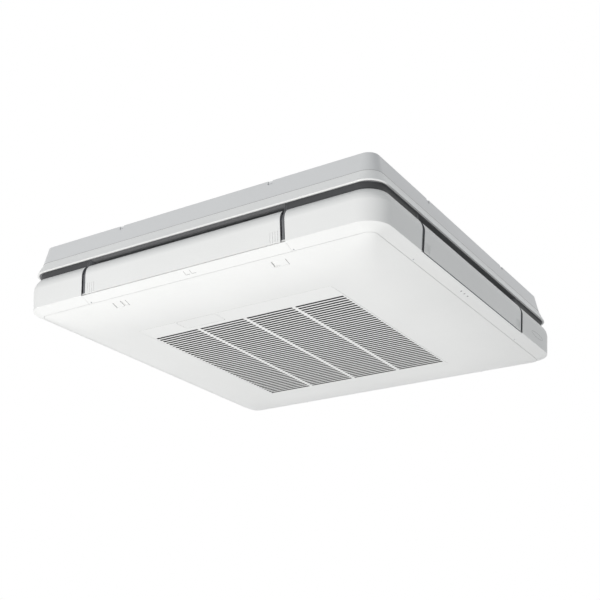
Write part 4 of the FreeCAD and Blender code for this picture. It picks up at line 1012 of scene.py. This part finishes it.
class UNIT_OT_stage(bpy.types.Operator):
    """Set the floor, the light and the camera"""

    bl_idname = "unit.stage"
    bl_label = "Studio"

    def seen(self, tree):
        """A factor that is 1 where the background is seen, straight or in metal and glass."""
        rays = tree.nodes.new("ShaderNodeLightPath")
        factor = rays.outputs["Is Camera Ray"]
        for name in ("Is Glossy Ray", "Is Transmission Ray"):
            factor = larger(tree, factor, rays.outputs[name])
        return factor

    def mix(self, tree, factor, first, second, leave):
        """Blends two shaders into an output node."""
        node = tree.nodes.new("ShaderNodeMixShader")
        tree.links.new(factor, node.inputs["Fac"])
        tree.links.new(first, node.inputs[1])
        tree.links.new(second, node.inputs[2])
        tree.links.new(node.outputs["Shader"], leave.inputs["Surface"])

    def floor(self, scene, stage):
        """A pale floor with some light of its own."""
        reach = 14
        corners = [(x * reach, y * reach, stage.floor) for x, y in ((-1, -1), (1, -1), (1, 1), (-1, 1))]
        mesh = bpy.data.meshes.new("floor")
        mesh.from_pydata(corners, [], [(0, 1, 2, 3)])
        ground = bpy.data.objects.new("floor", mesh)
        scene.collection.objects.link(ground)
        material, tree, surface, place = shader("pale_floor")
        slow = noise(tree, place, scale=0.6)
        tone = ramp(tree, slow, (0.86, 0.86, 0.855), (0.9, 0.9, 0.895))
        tree.links.new(tone, surface.inputs["Base Color"])
        surface.inputs["Roughness"].default_value = 0.8
        glow = tree.nodes.new("ShaderNodeEmission")
        share = mapped(tree, self.seen(tree), target=(stage.floor_glow, stage.floor_seen))
        leave = tree.nodes["Material Output"]
        self.mix(tree, share, surface.outputs["BSDF"], glow.outputs["Emission"], leave)
        paint(ground, material)

    def world(self, scene, stage):
        """Even light on the unit, and white behind it."""
        world = bpy.data.worlds.new("studio")
        scene.world = world
        world.use_nodes = True
        tree = world.node_tree
        tree.nodes.clear()
        even = tree.nodes.new("ShaderNodeBackground")
        even.inputs["Color"].default_value = (0.955, 0.985, 1.0, 1)
        even.inputs["Strength"].default_value = stage.ambient
        white = tree.nodes.new("ShaderNodeBackground")
        white.inputs["Color"].default_value = (1, 1, 1, 1)
        leave = tree.nodes.new("ShaderNodeOutputWorld")
        self.mix(tree, self.seen(tree), even.outputs["Background"], white.outputs["Background"], leave)

    def key_light(self, scene, stage):
        """One soft light, aimed at the middle of the unit."""
        target = Vector((0, 0, -0.12))
        place = Vector(stage.key_place)
        light = bpy.data.lights.new("key_light", "AREA")
        light.shape = "DISK"
        light.size = stage.key_size
        light.energy = stage.key
        light.color = (1.0, 0.992, 0.975)
        lamp = bpy.data.objects.new("key_light", light)
        scene.collection.objects.link(lamp)
        lamp.location = place
        lamp.rotation_euler = (target - place).to_track_quat("-Z", "Y").to_euler()
        lamp.visible_camera = False

    def camera(self, scene, stage):
        """The camera, aimed by its yaw, pitch and roll."""
        level = math.cos(stage.pitch)
        ahead = Vector((-math.sin(stage.yaw) * level, math.cos(stage.yaw) * level, math.sin(stage.pitch)))
        right = ahead.cross(Vector((0, 0, 1))).normalized()
        up = right.cross(ahead)
        rolled = right * math.cos(stage.roll) + up * math.sin(stage.roll)
        upright = up * math.cos(stage.roll) - right * math.sin(stage.roll)
        data = bpy.data.cameras.new("camera")
        data.lens = stage.lens
        data.sensor_width = 36
        camera = bpy.data.objects.new("camera", data)
        scene.collection.objects.link(camera)
        axes = Matrix((rolled, upright, -ahead)).transposed()
        camera.matrix_world = Matrix.Translation(Vector(stage.eye)) @ axes.to_4x4()
        scene.camera = camera

    def execute(self, context):
        scene = context.scene
        stage = scene.unit_stage
        scene.view_settings.view_transform = "Standard"
        self.floor(scene, stage)
        self.world(scene, stage)
        self.key_light(scene, stage)
        self.camera(scene, stage)
        return {"FINISHED"}


class UNIT_PT_panel(bpy.types.Panel):
    """Steps and settings of the ceiling unit"""

    bl_idname = "UNIT_PT_panel"
    bl_label = "Ceiling unit"
    bl_space_type = "VIEW_3D"
    bl_region_type = "UI"
    bl_category = "Ceiling unit"

    def draw(self, context):
        layout = self.layout
        for group in (context.scene.unit_colours, context.scene.unit_sizes, context.scene.unit_stage):
            column = layout.column()
            for name in group.__annotations__:
                column.prop(group, name)
        for step in STEPS:
            layout.operator(step.bl_idname)


STEPS = (UNIT_OT_finishes, UNIT_OT_mouldings, UNIT_OT_coil, UNIT_OT_screws, UNIT_OT_seals_shade_light,
         UNIT_OT_lines, UNIT_OT_casing, UNIT_OT_stage)
CLASSES = (UnitColours, UnitSizes, UnitStage) + STEPS + (UNIT_PT_panel,)


def register():
    for item in CLASSES:
        bpy.utils.register_class(item)
    bpy.types.Scene.unit_colours = bpy.props.PointerProperty(type=UnitColours)
    bpy.types.Scene.unit_sizes = bpy.props.PointerProperty(type=UnitSizes)
    bpy.types.Scene.unit_stage = bpy.props.PointerProperty(type=UnitStage)


def unregister():
    del bpy.types.Scene.unit_stage
    del bpy.types.Scene.unit_sizes
    del bpy.types.Scene.unit_colours
    for item in reversed(CLASSES):
        bpy.utils.unregister_class(item)


def main():
    register()
    bpy.ops.unit.finishes()
    bpy.ops.unit.mouldings()
    bpy.ops.unit.coil()
    bpy.ops.unit.screws()
    bpy.ops.unit.seals()
    bpy.ops.unit.lines()
    bpy.ops.unit.casing()
    bpy.ops.unit.stage()


if __name__ == "__main__":
    main()
